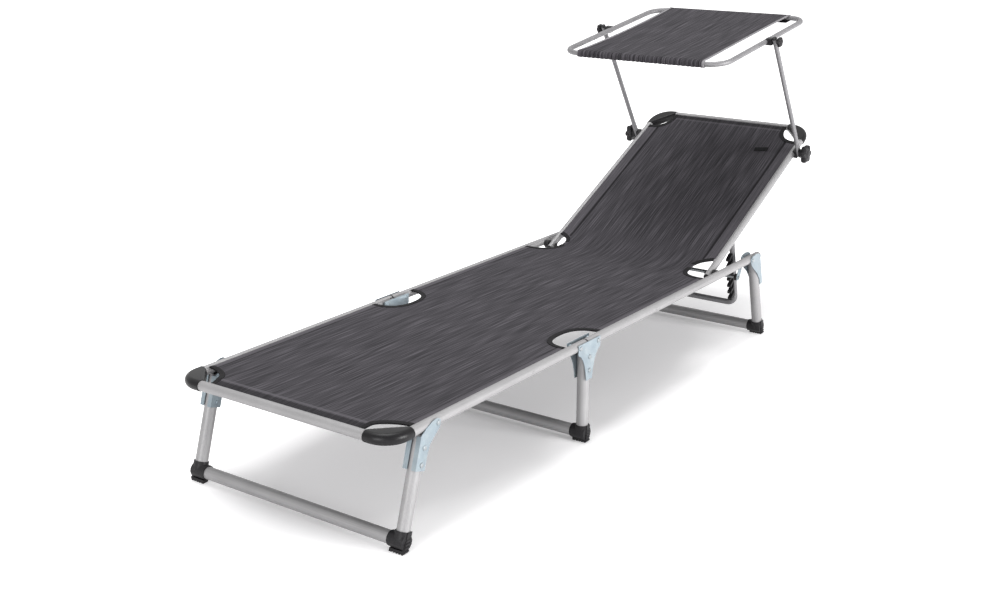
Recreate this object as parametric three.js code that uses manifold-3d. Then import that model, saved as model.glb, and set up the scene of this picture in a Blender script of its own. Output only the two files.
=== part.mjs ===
import * as THREE from "three";
import { mergeVertices } from "three/addons/utils/BufferGeometryUtils.js";
import Module from "manifold-3d";

const wasm = await Module();
wasm.setup();

// A folding sun lounger with a canopy, in millimetres.
// X runs across, Y from the foot end to the head end, Z up.
// The foot crossbar's axis lies at y = 0 and the ground at z = 0 until the model is centred.

// Clearances, overruns and facets
const fitGap = 0.3;
const overrun = 6;
const mergeTolerance = 0.0001;
const tubeSides = 12;
const slimSides = 10;
const pinSides = 8;
const bendSteps = 5;

// Side rails: one bent tube at the foot end, two straight ones at the head end
const railSpacing = 570;
const railDiameter = 22;
const railWall = 1.3;
const railHeight = 240;
const railBend = 45;
const splitPlace = 688;
const railEndPlace = 1594;
const seatSplitGap = 1.5;
const grooveWidth = 2.6;
const grooveTurn = Math.PI / 4;

// Black rings, plugs and sleeves on the rails
const ringThickness = 1.7;
const ringSplitGap = 0.8;
const plugDepth = 14;
const plugRim = 1;
const plugCrown = 2;
const sleeveWall = 1.4;
const footSleeveReach = 60;

// Legs, their crossbars and the moulded feet
const legDiameter = 28;
const legWall = 1.4;
const crossbarHeight = 22;
const legTuck = 6;
const crossbarSetback = 2;
const footCollarRadius = 16.6;
const footCollarReach = 26;
const footSleeveRadius = 16.6;
const footSleeveHeight = 42;
const treadWidth = 14;
const treadThickness = 7;
const treadReach = 17;
const treadToe = 22;
const treadTip = 43;
const treadPitch = 7;
const treadGroove = 2.8;
const treadDepth = 1.6;
const treadBevel = 4;

// Where the legs stand and turn, measured from the foot crossbar
const frontFootPlace = 30;
const frontLegPlace = 98;
const rearFootPlace = 1629;
const rearLegPlace = 1571;
const pivotSetback = 32;
const legFoldAngle = 105;
const foldStep = 15;

// Zinc plated brackets and their rivets
const plateThickness = 2;
const bracketDrop = 86;
const flangeWidth = 11;
const flangeDrop = 18;
const rivetDiameter = 6.4;
const rivetHead = 11;
const rivetTail = 8;
const rivetHeight = 2;
const spacerDiameter = 11;
const upperRivetDrop = 40;
const lowerRivetDrop = 74;
const gussetHalfLength = 46;
const gussetTop = 9;
const gussetShoulder = 15;
const gussetNeck = 12;
const gussetDrop = 84;
const gussetUpperRivet = 29;
const gussetLowerRivet = 62;
const foldPivotSpan = 37;

// Sling fabric and its cut-outs
const slingThickness = 2;
const slingRise = 6.3;
const midCutLength = 70;
const midCutDepth = 61;
const cornerCutAcross = 68;
const cornerCutAlong = 64;
const pivotCutLength = 78;
const pivotCutDepth = 84;
const slingHingeGap = 16;

// Backrest
const backPivotPlace = 1372;
const backPivotDrop = 4;
const backAngle = 26;
const backDiameter = 19;
const backWall = 1.2;
const backLength = 676;
const backBend = 52;
const backTail = 16;
const hingeBlockWidth = 12.9;
const hingeBlockDiameter = 24;
const hingePinDiameter = 8;
const hingeHeadDiameter = 14;
const hingeHeadThickness = 3;
const backSleeveReach = 62;
const backSlingRise = 5.4;
const backSlingStart = 14;
const headCutAcross = 58;
const headCutAlong = 66;
const lapCutAcross = 70;
const lapCutAlong = 32;

// Prop with its ratchets, and the bar that they rest on
const propPlace = 180;
const propDrop = 4;
const propAngle = -78;
const propDiameter = 16;
const propWall = 1.2;
const propLength = 222;
const propBend = 24;
const propHead = 4;
const propGap = 2.5;
const propPinDiameter = 6;
const propWasherDiameter = 11;
const ratchetStart = 70;
const ratchetWidth = 12;
const ratchetBack = 5;
const ratchetReach = 23;
const toothPitch = 20;
const toothHeight = 7;
const toothSlant = 9;
const toothCount = 7;
const barDiameter = 10;
const barTenon = 7;
const barPlace = 1516.4;
const barDrop = 48;
const barEarRadius = 9;
const barBushDiameter = 19;
const barBushWidth = 8;

// Canopy arms, clamps and knobs
const clampInset = 116;
const clampBlockWidth = 6.4;
const clampBlockHeight = 23;
const clampBlockLength = 20;
const armDiameter = 13;
const armWall = 1.2;
const armAngle = 122;
const armLength = 402;
const armTail = 10;
const armTop = 9;
const paddleThickness = 5;
const paddleWidth = 19;
const paddleLength = 16;
const paddleTaper = 30;
const capRim = 2;
const capCrown = 2;
const capDepth = 6;
const lowerKnobDiameter = 54;
const lowerKnobThickness = 18;
const lowerKnobNeck = 9;
const knobLobeDepth = 7.5;
const knobLobes = 6;
const upperKnobDiameter = 28;
const upperKnobThickness = 10;
const upperKnobNeck = 2;
const boltDiameter = 6;
const boltInset = 3;

// Canopy
const canopyBlockWidth = 10.9;
const canopyBlockSize = 18;
const canopyTilt = 8.2;
const canopyDiameter = 14;
const canopyWall = 1.2;
const canopyHalfLength = 263;
const canopyBend = 50;
const coverThickness = 1.6;
const coverFrontHalf = 193;
const coverMiddleHalf = 187;
const coverBackHalf = 194;
const coverSleeveMargin = 2;
const gatherCount = 14;
const gatherDepth = 1.1;

// Radii and places that follow from the sizes above
const railRadius = railDiameter / 2;
const railHalf = railSpacing / 2;
const railBore = railRadius - railWall;
const backPivotHeight = railHeight - backPivotDrop;
const barHeight = railHeight - barDrop;
const legRadius = legDiameter / 2;
const legHalf = railHalf + railRadius - legRadius;
const legTopHeight = railHeight - railRadius - fitGap;
const backRadius = backDiameter / 2;
const backHalf = railHalf - railRadius - hingeBlockWidth - 2 * fitGap - backRadius;
const clampPlace = backLength - clampInset;
const propRadius = propDiameter / 2;
const propHalf = backHalf - backRadius - propGap - propRadius;
const armRadius = armDiameter / 2;
const armHalf = backHalf + backRadius + clampBlockWidth + 2 * fitGap + paddleThickness / 2;
const canopyRadius = canopyDiameter / 2;
const canopyHalf = armHalf - armRadius - canopyBlockWidth - 2 * fitGap - canopyRadius;
const boltRadius = boltDiameter / 2;
const rivetRadius = rivetDiameter / 2;
const outerPlate = legHalf + legRadius + fitGap;
const innerPlate = legHalf - legRadius - fitGap - plateThickness;
const foldFootPlace = splitPlace - foldPivotSpan;
const foldSeatPlace = splitPlace + foldPivotSpan;
const frontPivotPlace = frontLegPlace + pivotSetback;
const rearPivotPlace = rearLegPlace - pivotSetback;

// A round hole whose facets keep the fit clearance all round the shaft inside it
function clearRadius(radius) {
  return (radius + fitGap) / Math.cos(Math.PI / pinSides);
}

// A round spigot that keeps the fit clearance inside a faceted bore
function spigotRadius(bore) {
  return bore * Math.cos(Math.PI / slimSides) - fitGap;
}

// Half the width at a given height above the axis of a round tube
function chord(radius, rise) {
  return Math.sqrt(Math.max(radius * radius - rise * rise, 0));
}

function radians(degrees) {
  return THREE.MathUtils.degToRad(degrees);
}

// Joins and cuts
function solid(geometry) {
  const plain = geometry.clone();
  plain.deleteAttribute("normal");
  plain.deleteAttribute("uv");
  const merged = mergeVertices(plain, mergeTolerance);
  return new wasm.Manifold(
    new wasm.Mesh({
      numProp: 3,
      vertProperties: merged.attributes.position.array,
      triVerts: new Uint32Array(merged.index.array),
    }),
  );
}

function geometryOf(body) {
  const mesh = body.getMesh();
  const indexed = new THREE.BufferGeometry();
  indexed.setAttribute("position", new THREE.BufferAttribute(mesh.vertProperties, 3));
  indexed.setIndex(new THREE.BufferAttribute(mesh.triVerts, 1));
  const geometry = indexed.toNonIndexed();
  geometry.computeVertexNormals();
  return geometry;
}

function join(...geometries) {
  return geometryOf(geometries.map(solid).reduce((whole, next) => whole.add(next)));
}

function cut(geometry, ...tools) {
  return geometryOf(tools.map(solid).reduce((rest, tool) => rest.subtract(tool), solid(geometry)));
}

// Simple shapes placed by their ends
function roundX(radius, x0, x1, y, z, sides = pinSides) {
  const geometry = new THREE.CylinderGeometry(radius, radius, x1 - x0, sides);
  return geometry.rotateZ(Math.PI / 2).translate((x0 + x1) / 2, y, z);
}

function roundY(radius, y0, y1, sides = tubeSides) {
  return new THREE.CylinderGeometry(radius, radius, y1 - y0, sides).translate(0, (y0 + y1) / 2, 0);
}

function block(x0, x1, y0, y1, z0, z1) {
  const geometry = new THREE.BoxGeometry(x1 - x0, y1 - y0, z1 - z0);
  return geometry.translate((x0 + x1) / 2, (y0 + y1) / 2, (z0 + z1) / 2);
}

// An outline in the Y-Z plane given thickness along X
function plateX(shape, x0, x1, curveSegments = bendSteps) {
  const geometry = new THREE.ExtrudeGeometry(shape, {
    depth: x1 - x0,
    bevelEnabled: false,
    curveSegments,
  });
  const across = new THREE.Matrix4().makeBasis(
    new THREE.Vector3(0, 1, 0),
    new THREE.Vector3(0, 0, 1),
    new THREE.Vector3(1, 0, 0),
  );
  return geometry.applyMatrix4(across).translate(x0, 0, 0);
}

// An outline in the X-Y plane given thickness along Z
function plateZ(shape, z0, z1, curveSegments = bendSteps) {
  const geometry = new THREE.ExtrudeGeometry(shape, {
    depth: z1 - z0,
    bevelEnabled: false,
    curveSegments,
  });
  return geometry.translate(0, 0, z0);
}

function outline(points) {
  return new THREE.Shape(points.map(([a, b]) => new THREE.Vector2(a, b)));
}

// A path in the X-Y plane with one step for each straight run and bendSteps for each bend
class BentPath extends THREE.Curve {
  constructor(corners, radius) {
    super();
    const points = corners.map(([x, y]) => new THREE.Vector3(x, y, 0));
    this.stations = [];
    this.addStation(points[0], points[1].clone().sub(points[0]));
    for (let i = 1; i < points.length - 1; i++) {
      this.addBend(points[i - 1], points[i], points[i + 1], radius);
    }
    const last = points.length - 1;
    this.addStation(points[last], points[last].clone().sub(points[last - 1]));
  }

  addStation(point, direction) {
    this.stations.push({ point: point.clone(), tangent: direction.clone().normalize() });
  }

  addBend(before, corner, after, radius) {
    const into = corner.clone().sub(before).normalize();
    const out = after.clone().sub(corner).normalize();
    const centre = corner.clone().addScaledVector(into, -radius).addScaledVector(out, radius);
    for (let step = 0; step <= bendSteps; step++) {
      const angle = ((Math.PI / 2) * step) / bendSteps;
      const point = centre
        .clone()
        .addScaledVector(into, radius * Math.sin(angle))
        .addScaledVector(out, -radius * Math.cos(angle));
      const tangent = into
        .clone()
        .multiplyScalar(Math.cos(angle))
        .addScaledVector(out, Math.sin(angle));
      this.addStation(point, tangent);
    }
  }

  at(t, key) {
    const place = t * (this.stations.length - 1);
    const first = Math.min(Math.floor(place), this.stations.length - 2);
    return this.stations[first][key].clone().lerp(this.stations[first + 1][key], place - first);
  }

  getPoint(t) {
    return this.at(t, "point");
  }

  getPointAt(u) {
    return this.at(u, "point");
  }

  getTangent(t) {
    return this.at(t, "tangent").normalize();
  }

  getTangentAt(u) {
    return this.at(u, "tangent").normalize();
  }
}

function tubeAlong(section, corners, radius, sides = tubeSides) {
  const path = new BentPath(corners, radius);
  return new THREE.ExtrudeGeometry(section, {
    steps: path.stations.length - 1,
    extrudePath: path,
    curveSegments: sides / 2,
  });
}

function ring(radius, bore) {
  const section = new THREE.Shape().absarc(0, 0, radius, 0, 2 * Math.PI);
  section.holes.push(new THREE.Path().absarc(0, 0, bore, 0, 2 * Math.PI, true));
  return section;
}

// A tube wall left open by the slot that the fabric's edge cord slides into.
// The slot looks up and to the left of the way that the path runs.
function grooved(radius, bore) {
  const slot = Math.PI - grooveTurn;
  const outerHalf = Math.asin(grooveWidth / 2 / radius);
  const innerHalf = Math.asin(grooveWidth / 2 / bore);
  const section = new THREE.Shape();
  section.absarc(0, 0, radius, slot + outerHalf, slot - outerHalf + 2 * Math.PI);
  section.absarc(0, 0, bore, slot - innerHalf + 2 * Math.PI, slot + innerHalf, true);
  section.closePath();
  return section;
}

// Rings of points of equal count, skinned along Y and closed at both ends
function loft(rings) {
  const sides = rings[0].length;
  const vertices = rings.flat();
  const indices = [];
  for (let i = 0; i < rings.length - 1; i++) {
    for (let j = 0; j < sides; j++) {
      const a = i * sides + j;
      const b = i * sides + ((j + 1) % sides);
      indices.push(a, a + sides, b, b, a + sides, b + sides);
    }
  }
  const last = (rings.length - 1) * sides;
  for (let j = 1; j < sides - 1; j++) {
    indices.push(0, j, j + 1);
    indices.push(last, last + j + 1, last + j);
  }
  const geometry = new THREE.BufferGeometry().setFromPoints(vertices);
  geometry.setIndex(indices);
  return geometry;
}

// Materials as the pieces look
const anodised = { color: 0xb9babb, roughness: 0.42, metalness: 0.85 };
const zinc = { color: 0xa3b0b8, roughness: 0.38, metalness: 0.8 };
const blackPlastic = { color: 0x1d1c1d, roughness: 0.55, metalness: 0 };
const satinSleeve = { color: 0x262526, roughness: 0.4, metalness: 0 };
const slingFabric = { color: 0x3b3a3d, roughness: 0.9, metalness: 0 };
const steelBar = { color: 0x8f9395, roughness: 0.4, metalness: 0.9 };

function piece(name, geometry, look) {
  const mesh = new THREE.Mesh(geometry, new THREE.MeshStandardMaterial(look));
  mesh.name = name;
  return mesh;
}

// A right-hand piece and its mirror image; right is the +X side
function pair(name, geometry, look) {
  const left = piece(name + "_left", geometry, look);
  left.scale.x = -1;
  return [piece(name + "_right", geometry, look), left];
}

function groupAt(y, z, turn = 0) {
  const group = new THREE.Group();
  group.position.set(0, y, z);
  group.rotation.x = turn;
  return group;
}

// A hole drilled across both side tubes of a frame
function crossHole(shaftRadius, half, tubeRadius, y, z = 0) {
  const reach = half + tubeRadius + overrun;
  return roundX(clearRadius(shaftRadius), -reach, reach, y, z);
}

// Rails

const footTubeEnd = splitPlace - ringSplitGap - ringThickness - fitGap;
const seatTubeStart = splitPlace + seatSplitGap;

function footRailFrame() {
  const corners = [
    [-railHalf, footTubeEnd],
    [-railHalf, 0],
    [railHalf, 0],
    [railHalf, footTubeEnd],
  ];
  return cut(
    tubeAlong(grooved(railRadius, railBore), corners, railBend),
    crossHole(rivetRadius, railHalf, railRadius, foldFootPlace),
    crossHole(rivetRadius, railHalf, railRadius, frontPivotPlace),
  );
}

function cornerSleeve(half, end, reach, tubeRadius, bend) {
  const corners = [
    [half, end - Math.sign(end || -1) * reach],
    [half, end],
    [half - reach, end],
  ];
  const bore = (tubeRadius + fitGap) / Math.cos(Math.PI / tubeSides);
  return tubeAlong(ring(bore + sleeveWall, bore), corners, bend);
}

function splitRing() {
  const collarEnd = splitPlace - ringSplitGap;
  const collar = roundY(railRadius, collarEnd - ringThickness, collarEnd);
  const spigot = roundY(spigotRadius(railBore), collarEnd - ringThickness - plugDepth, collarEnd);
  return join(collar, spigot).translate(railHalf, 0, 0);
}

function seatRail() {
  const corners = [
    [railHalf, seatTubeStart],
    [railHalf, railEndPlace],
  ];
  const hole = (y) => {
    const reach = railRadius + overrun;
    return roundX(clearRadius(rivetRadius), railHalf - reach, railHalf + reach, y, 0);
  };
  const tube = tubeAlong(grooved(railRadius, railBore), corners, railBend);
  return cut(tube, hole(foldSeatPlace), hole(rearPivotPlace));
}

// A domed plug: spigot in the bore, rim on the tube's end
function domedPlug(tubeRadius, bore, depth, rim, crown) {
  const spigot = spigotRadius(bore);
  const profile = [
    [0, -depth],
    [spigot, -depth],
    [spigot, 0],
    [tubeRadius, 0],
    [tubeRadius, rim],
  ];
  for (let step = 1; step < 3; step++) {
    const angle = ((Math.PI / 2) * step) / 3;
    profile.push([tubeRadius * Math.cos(angle), rim + crown * Math.sin(angle)]);
  }
  profile.push([0, rim + crown]);
  return new THREE.LatheGeometry(
    profile.map(([r, y]) => new THREE.Vector2(r, y)),
    tubeSides,
  );
}

// Leg sets: each is built in a level frame at its crossbar's axis

function leaned(geometry, splay) {
  return geometry.rotateX(-splay);
}

// Slides each level of a shape along the lounger with the leg's slope, so that its floor stays level
function slanted(geometry, splay) {
  return geometry.applyMatrix4(new THREE.Matrix4().makeShear(0, 0, 0, 0, 0, Math.tan(splay)));
}

function legTube(splay, rivets) {
  const top = (railHeight - crossbarHeight + railDiameter) / Math.cos(splay);
  const tube = new THREE.ExtrudeGeometry(ring(legRadius, legRadius - legWall), {
    depth: top + legTuck,
    bevelEnabled: false,
    curveSegments: tubeSides / 2,
  });
  const leg = leaned(tube.translate(0, 0, -legTuck), splay).translate(legHalf, 0, 0);
  const ceiling = legTopHeight - crossbarHeight;
  const lean = Math.abs(top * Math.sin(splay)) + legDiameter + overrun;
  const above = block(
    legHalf - legDiameter,
    legHalf + legDiameter,
    -lean,
    lean,
    ceiling,
    ceiling + 2 * railDiameter + overrun,
  );
  return cut(leg, above, ...rivets);
}

function crossbar() {
  const half = legHalf - legRadius - crossbarSetback;
  const tube = new THREE.ExtrudeGeometry(ring(legRadius, legRadius - legWall), {
    depth: 2 * half,
    bevelEnabled: false,
    curveSegments: tubeSides / 2,
  });
  return tube.translate(0, 0, -half).rotateY(Math.PI / 2);
}

// The serrated strap under and outside the foot, as an outline across the lounger
function treadOutline() {
  const floor = -crossbarHeight;
  const points = [
    [-treadToe, floor + treadThickness],
    [-treadToe, floor],
  ];
  const bottomGrooves = Math.floor((treadToe + treadReach - treadBevel) / treadPitch);
  for (let i = 1; i < bottomGrooves; i++) {
    const x = -treadToe + i * treadPitch;
    points.push([x, floor], [x, floor + treadDepth]);
    points.push([x + treadGroove, floor + treadDepth], [x + treadGroove, floor]);
  }
  points.push([treadReach - treadBevel, floor], [treadReach, floor + treadBevel]);
  const sideGrooves = Math.floor((treadTip - treadBevel) / treadPitch);
  for (let i = 1; i < sideGrooves; i++) {
    const z = floor + treadBevel + (i - 1 / 2) * treadPitch;
    points.push([treadReach, z], [treadReach - treadDepth, z]);
    points.push([treadReach - treadDepth, z + treadGroove], [treadReach, z + treadGroove]);
  }
  points.push([treadReach, floor + treadTip]);
  points.push([treadReach - treadThickness / 2, floor + treadTip - treadThickness / 2]);
  points.push([treadReach - treadThickness, floor + treadThickness]);
  return outline(points);
}

function foot(splay) {
  const collarStart = -footCollarReach;
  const collar = roundX(footCollarRadius, collarStart, treadReach - treadThickness / 2, 0, 0, tubeSides);
  const rise = footSleeveHeight - crossbarHeight;
  const sleeveTop = rise / Math.cos(splay);
  const sleeve = new THREE.CylinderGeometry(footSleeveRadius, footSleeveRadius, sleeveTop, tubeSides);
  sleeve.rotateX(Math.PI / 2).translate(0, 0, sleeveTop / 2);
  const tread = new THREE.ExtrudeGeometry(treadOutline(), { depth: treadWidth, bevelEnabled: false });
  slanted(tread.rotateX(Math.PI / 2).translate(0, treadWidth / 2, 0), splay);
  const socketRadius = (legRadius + fitGap) / Math.cos(Math.PI / tubeSides);
  const legSocket = new THREE.CylinderGeometry(socketRadius, socketRadius, treadTip, tubeSides);
  legSocket.rotateX(Math.PI / 2).translate(0, 0, treadTip / 2 - legTuck - fitGap);
  const barEnd = -legRadius - crossbarSetback + fitGap;
  const barSocket = roundX(socketRadius, collarStart - overrun, barEnd, 0, 0, tubeSides);
  const body = join(collar, leaned(sleeve, splay), tread);
  return cut(body, leaned(legSocket, splay), barSocket).translate(legHalf, 0, 0);
}

function legSet(prefix, place, splay, rivets) {
  const group = groupAt(place, crossbarHeight);
  group.add(...pair(prefix + "_leg", legTube(splay, rivets), anodised));
  group.add(piece(prefix + "_crossbar", crossbar(), anodised));
  group.add(...pair(prefix + "_foot", foot(splay), blackPlastic));
  return group;
}

// Brackets and rivets

function rivet(y, z, inward = innerPlate) {
  const shaft = roundX(rivetRadius, inward, outerPlate + plateThickness, y, z);
  const start = outerPlate + plateThickness - plateThickness / 2;
  const head = roundX(rivetHead / 2, start, outerPlate + plateThickness + rivetHeight, y, z);
  const tail = roundX(rivetTail / 2, inward - rivetHeight, inward + plateThickness / 2, y, z);
  return [shaft, head, tail];
}

// The collar that fills the space between a rail and the inner plate round a pivot
function railSpacer(y, z) {
  const start = innerPlate + plateThickness / 2;
  return roundX(spacerDiameter / 2, start, railHalf - railRadius - fitGap, y, z);
}

function gussetOutline() {
  const neck = -gussetShoulder - (gussetDrop - gussetShoulder) / 2;
  const shape = new THREE.Shape();
  shape.moveTo(-gussetHalfLength, gussetTop);
  shape.lineTo(-gussetHalfLength, -gussetShoulder);
  shape.quadraticCurveTo(-gussetNeck - legRadius / 2, neck / 2, -gussetNeck, -gussetDrop);
  shape.lineTo(gussetNeck, -gussetDrop);
  shape.quadraticCurveTo(gussetNeck + legRadius / 2, neck / 2, gussetHalfLength, -gussetShoulder);
  shape.lineTo(gussetHalfLength, gussetTop);
  shape.closePath();
  return shape;
}

// The T-shaped fold bracket, in a frame at the split on the rails' axis
function foldGusset() {
  const shape = gussetOutline();
  return join(
    plateX(shape, outerPlate, outerPlate + plateThickness),
    plateX(shape, innerPlate, innerPlate + plateThickness),
    ...rivet(-foldPivotSpan, 0),
    ...rivet(foldPivotSpan, 0),
    railSpacer(-foldPivotSpan, 0),
    railSpacer(foldPivotSpan, 0),
    ...rivet(0, -gussetUpperRivet),
    ...rivet(0, -gussetLowerRivet),
  );
}

// Bracket outlines in the leg's own frame: shares of the pivot's reach and of the drop.
// The first number runs from the leg's axis towards the pivot, the second down the leg.
const frontPlateShares = [
  [-0.525, 0.19],
  [-0.3, 0.1],
  [-0.09, 0.01],
  [0.41, -0.135],
  [0.7, -0.2],
  [0.95, -0.22],
  [1.19, -0.19],
  [1.3, -0.1],
  [1.24, 0],
  [0.8, 0.23],
  [0.52, 0.39],
  [0.44, 0.62],
  [0.43, 1],
  [-0.525, 1],
];
const rearPlateShares = [
  [-0.525, -0.03],
  [-0.2, -0.13],
  [0.3, -0.2],
  [0.95, -0.225],
  [1.22, -0.19],
  [1.34, -0.09],
  [1.28, 0.03],
  [0.9, 0.24],
  [0.3, 0.52],
  [-0.05, 0.8],
  [-0.1, 1],
  [-0.525, 1],
];

function plateOutline(shares, splay, toPivot) {
  const reach = pivotSetback * Math.cos(splay);
  const points = shares.map(([across, down]) => [toPivot * across * reach, -down * bracketDrop]);
  return outline(toPivot > 0 ? points.reverse() : points);
}

// What keeps the inner plate under the fabric while the bracket turns about its pivot,
// in a level frame on the rails' axis: the fabric's space, turned back step by step
function slingZones(pivot, foldAngle) {
  const reach = 2 * bracketDrop;
  const bottom = slingRise - fitGap;
  const steps = Math.ceil(foldAngle / foldStep);
  return Array.from({ length: steps + 1 }, (_, i) => {
    const zone = block(innerPlate - overrun, outerPlate - overrun, -reach, reach, bottom, bottom + reach);
    return zone.rotateX(-radians(foldAngle) * (i / steps)).translate(0, pivot, 0);
  });
}

// The folded edge that wraps the leg on the side away from the pivot
function flange(x0, x1, toPivot) {
  const near = -toPivot * (legRadius + fitGap);
  const far = near - toPivot * plateThickness;
  return block(x0, x1, Math.min(near, far), Math.max(near, far), -bracketDrop, -flangeDrop);
}

function bracketPlates(shares, splay, toPivot) {
  const shape = plateOutline(shares, splay, toPivot);
  const outer = plateX(shape, outerPlate, outerPlate + plateThickness).rotateX(-toPivot * splay);
  const inner = plateX(shape, innerPlate, innerPlate + plateThickness).rotateX(-toPivot * splay);
  return [outer, toPivot > 0 ? cut(inner, ...slingZones(pivotSetback, legFoldAngle)) : inner];
}

function frontBracket(splay) {
  const edge = outerPlate + plateThickness;
  return join(
    ...bracketPlates(frontPlateShares, splay, 1),
    flange(innerPlate, innerPlate + flangeWidth, 1).rotateX(-splay),
    flange(edge - flangeWidth, edge, 1).rotateX(-splay),
    ...legRivets(splay),
    ...rivet(pivotSetback, 0),
    railSpacer(pivotSetback, 0),
  );
}

// The two rivets through a splayed leg, in a frame at the leg's axis on the rails' axis
function legRivets(splay) {
  return [upperRivetDrop, lowerRivetDrop].flatMap((drop) =>
    rivet(-drop * Math.sin(splay), -drop * Math.cos(splay)),
  );
}

// The head-end bracket: its leg rivets go in from the back, and its inner plate has an ear for the bar
function rearBracket(splay) {
  const edge = outerPlate + plateThickness;
  const back = backRivets(rivetRadius, rivetHead / 2, splay);
  const pivot = -pivotSetback;
  const ear = outline(earPoints(pivot));
  const earPlate = cut(
    plateX(ear, innerPlate, innerPlate + plateThickness),
    barHole(innerPlate - overrun, innerPlate + plateThickness + overrun),
  );
  return join(
    ...bracketPlates(rearPlateShares, splay, -1),
    flange(innerPlate, edge, -1).rotateX(splay),
    ...back,
    earPlate,
    ...rivet(pivot, 0),
    railSpacer(pivot, 0),
  );
}

// The ear is a strap with a round end, from the pivot down to the bar
function earPoints(pivot) {
  const bar = [barPlace - rearLegPlace, barHeight - railHeight];
  const angle = Math.atan2(bar[1], bar[0] - pivot);
  const around = (centre, turn) => [
    centre[0] + barEarRadius * Math.cos(angle + turn),
    centre[1] + barEarRadius * Math.sin(angle + turn),
  ];
  const points = [around([pivot, 0], Math.PI / 2), around([pivot, 0], -Math.PI / 2)];
  for (let step = 0; step <= bendSteps; step++) {
    points.push(around(bar, Math.PI * (step / bendSteps - 1 / 2)));
  }
  return points;
}

function barHole(x0, x1) {
  return roundX(clearRadius(barTenon / 2), x0, x1, barPlace - rearLegPlace, barHeight - railHeight);
}

// Rivets along the lounger through the flange into the back of the leg
function backRivets(shaft, head, splay) {
  const face = legRadius + fitGap + plateThickness;
  return [upperRivetDrop, lowerRivetDrop].flatMap((drop) => {
    const stem = roundY(shaft, legRadius - 2 * legWall, face, pinSides).translate(legHalf, 0, -drop);
    const cap = roundY(head, face - plateThickness / 2, face + rivetHeight, pinSides);
    return [stem.rotateX(splay), cap.translate(legHalf, 0, -drop).rotateX(splay)];
  });
}

function restBar() {
  const half = innerPlate - fitGap;
  const tenon = innerPlate + plateThickness + barTenon / 4;
  return join(
    roundX(barDiameter / 2, -half, half, 0, 0),
    roundX(barTenon / 2, -tenon, tenon, 0, 0),
  );
}

function barBush() {
  const outer = innerPlate - fitGap;
  const inner = outer - barBushWidth;
  return cut(
    roundX(barBushDiameter / 2, inner, outer, 0, 0, tubeSides),
    roundX(clearRadius(barDiameter / 2), inner - overrun, outer + overrun, 0, 0),
  );
}

// Sling fabric: flat panels with rounded cut-outs, drawn on the right and mirrored to the left

function mirroredPanel(draw) {
  const half = new THREE.Shape();
  draw(half);
  const points = half.getPoints(bendSteps);
  const left = points.map((point) => new THREE.Vector2(-point.x, point.y)).reverse();
  return new THREE.Shape([...points, ...left]);
}

const slingEdge = railHalf - chord(railRadius, slingRise) - fitGap;
const midCutEdge = slingEdge - midCutDepth;
const footSlingEnd = splitPlace - ringSplitGap - fitGap;
const seatSlingStart = splitPlace + seatSplitGap - ringSplitGap;

function footSling() {
  const start = chord(railRadius, slingRise) + fitGap;
  const shape = mirroredPanel((half) => {
    half.moveTo(slingEdge - cornerCutAcross, start);
    half.quadraticCurveTo(slingEdge - cornerCutAcross, cornerCutAlong, slingEdge, start + cornerCutAlong);
    half.lineTo(slingEdge, splitPlace - midCutLength);
    half.quadraticCurveTo(midCutEdge, splitPlace - midCutLength, midCutEdge, footSlingEnd);
  });
  return plateZ(shape, slingRise, slingRise + slingThickness);
}

function seatSling() {
  const end = backPivotPlace - slingHingeGap;
  const cutStart = end - pivotCutLength;
  const cutEdge = slingEdge - pivotCutDepth;
  const shape = mirroredPanel((half) => {
    half.moveTo(midCutEdge, seatSlingStart);
    half.quadraticCurveTo(midCutEdge, splitPlace + midCutLength, slingEdge, splitPlace + midCutLength);
    half.lineTo(slingEdge, cutStart);
    half.quadraticCurveTo(cutEdge, cutStart, cutEdge, end);
  });
  return plateZ(shape, slingRise, slingRise + slingThickness);
}

const backSlingEdge = backHalf - chord(backRadius, backSlingRise) - fitGap;

function backSling() {
  const end = backLength - chord(backRadius, backSlingRise) - fitGap;
  const lap = backSlingEdge - lapCutAcross;
  const shape = mirroredPanel((half) => {
    half.moveTo(lap, backSlingStart);
    half.quadraticCurveTo(
      backSlingEdge - lapCutAcross / 4,
      backSlingStart + lapCutAlong / 4,
      backSlingEdge,
      backSlingStart + lapCutAlong,
    );
    half.lineTo(backSlingEdge, end - headCutAlong);
    half.quadraticCurveTo(
      backSlingEdge - headCutAcross,
      end - headCutAlong,
      backSlingEdge - headCutAcross,
      end,
    );
  });
  return plateZ(shape, backSlingRise, backSlingRise + slingThickness);
}

// Backrest, in its own flat frame: Y runs up the back from the pivot

function backrestFrame() {
  const corners = [
    [backHalf, -backTail],
    [backHalf, backLength],
    [-backHalf, backLength],
    [-backHalf, -backTail],
  ];
  const blind = (sign) => {
    const start = sign * (backHalf - boltInset - fitGap);
    const end = sign * (backHalf + backRadius + overrun);
    return roundX(clearRadius(boltRadius), Math.min(start, end), Math.max(start, end), clampPlace, 0);
  };
  const propHole = (sign) => {
    const start = sign * (backHalf - backRadius - overrun);
    const end = sign * (backHalf - backRadius + overrun);
    const radius = clearRadius(propPinDiameter / 2);
    return roundX(radius, Math.min(start, end), Math.max(start, end), propPlace, -propDrop);
  };
  return cut(
    tubeAlong(grooved(backRadius, backRadius - backWall), corners, backBend),
    crossHole(hingePinDiameter / 2, backHalf, backRadius, 0),
    blind(1),
    blind(-1),
    propHole(1),
    propHole(-1),
  );
}

function hingeBush() {
  const plug = domedPlug(backRadius, backRadius - backWall, backTail / 2, plugRim, plugCrown);
  return plug.rotateZ(Math.PI).translate(backHalf, -backTail - fitGap, 0);
}

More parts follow.
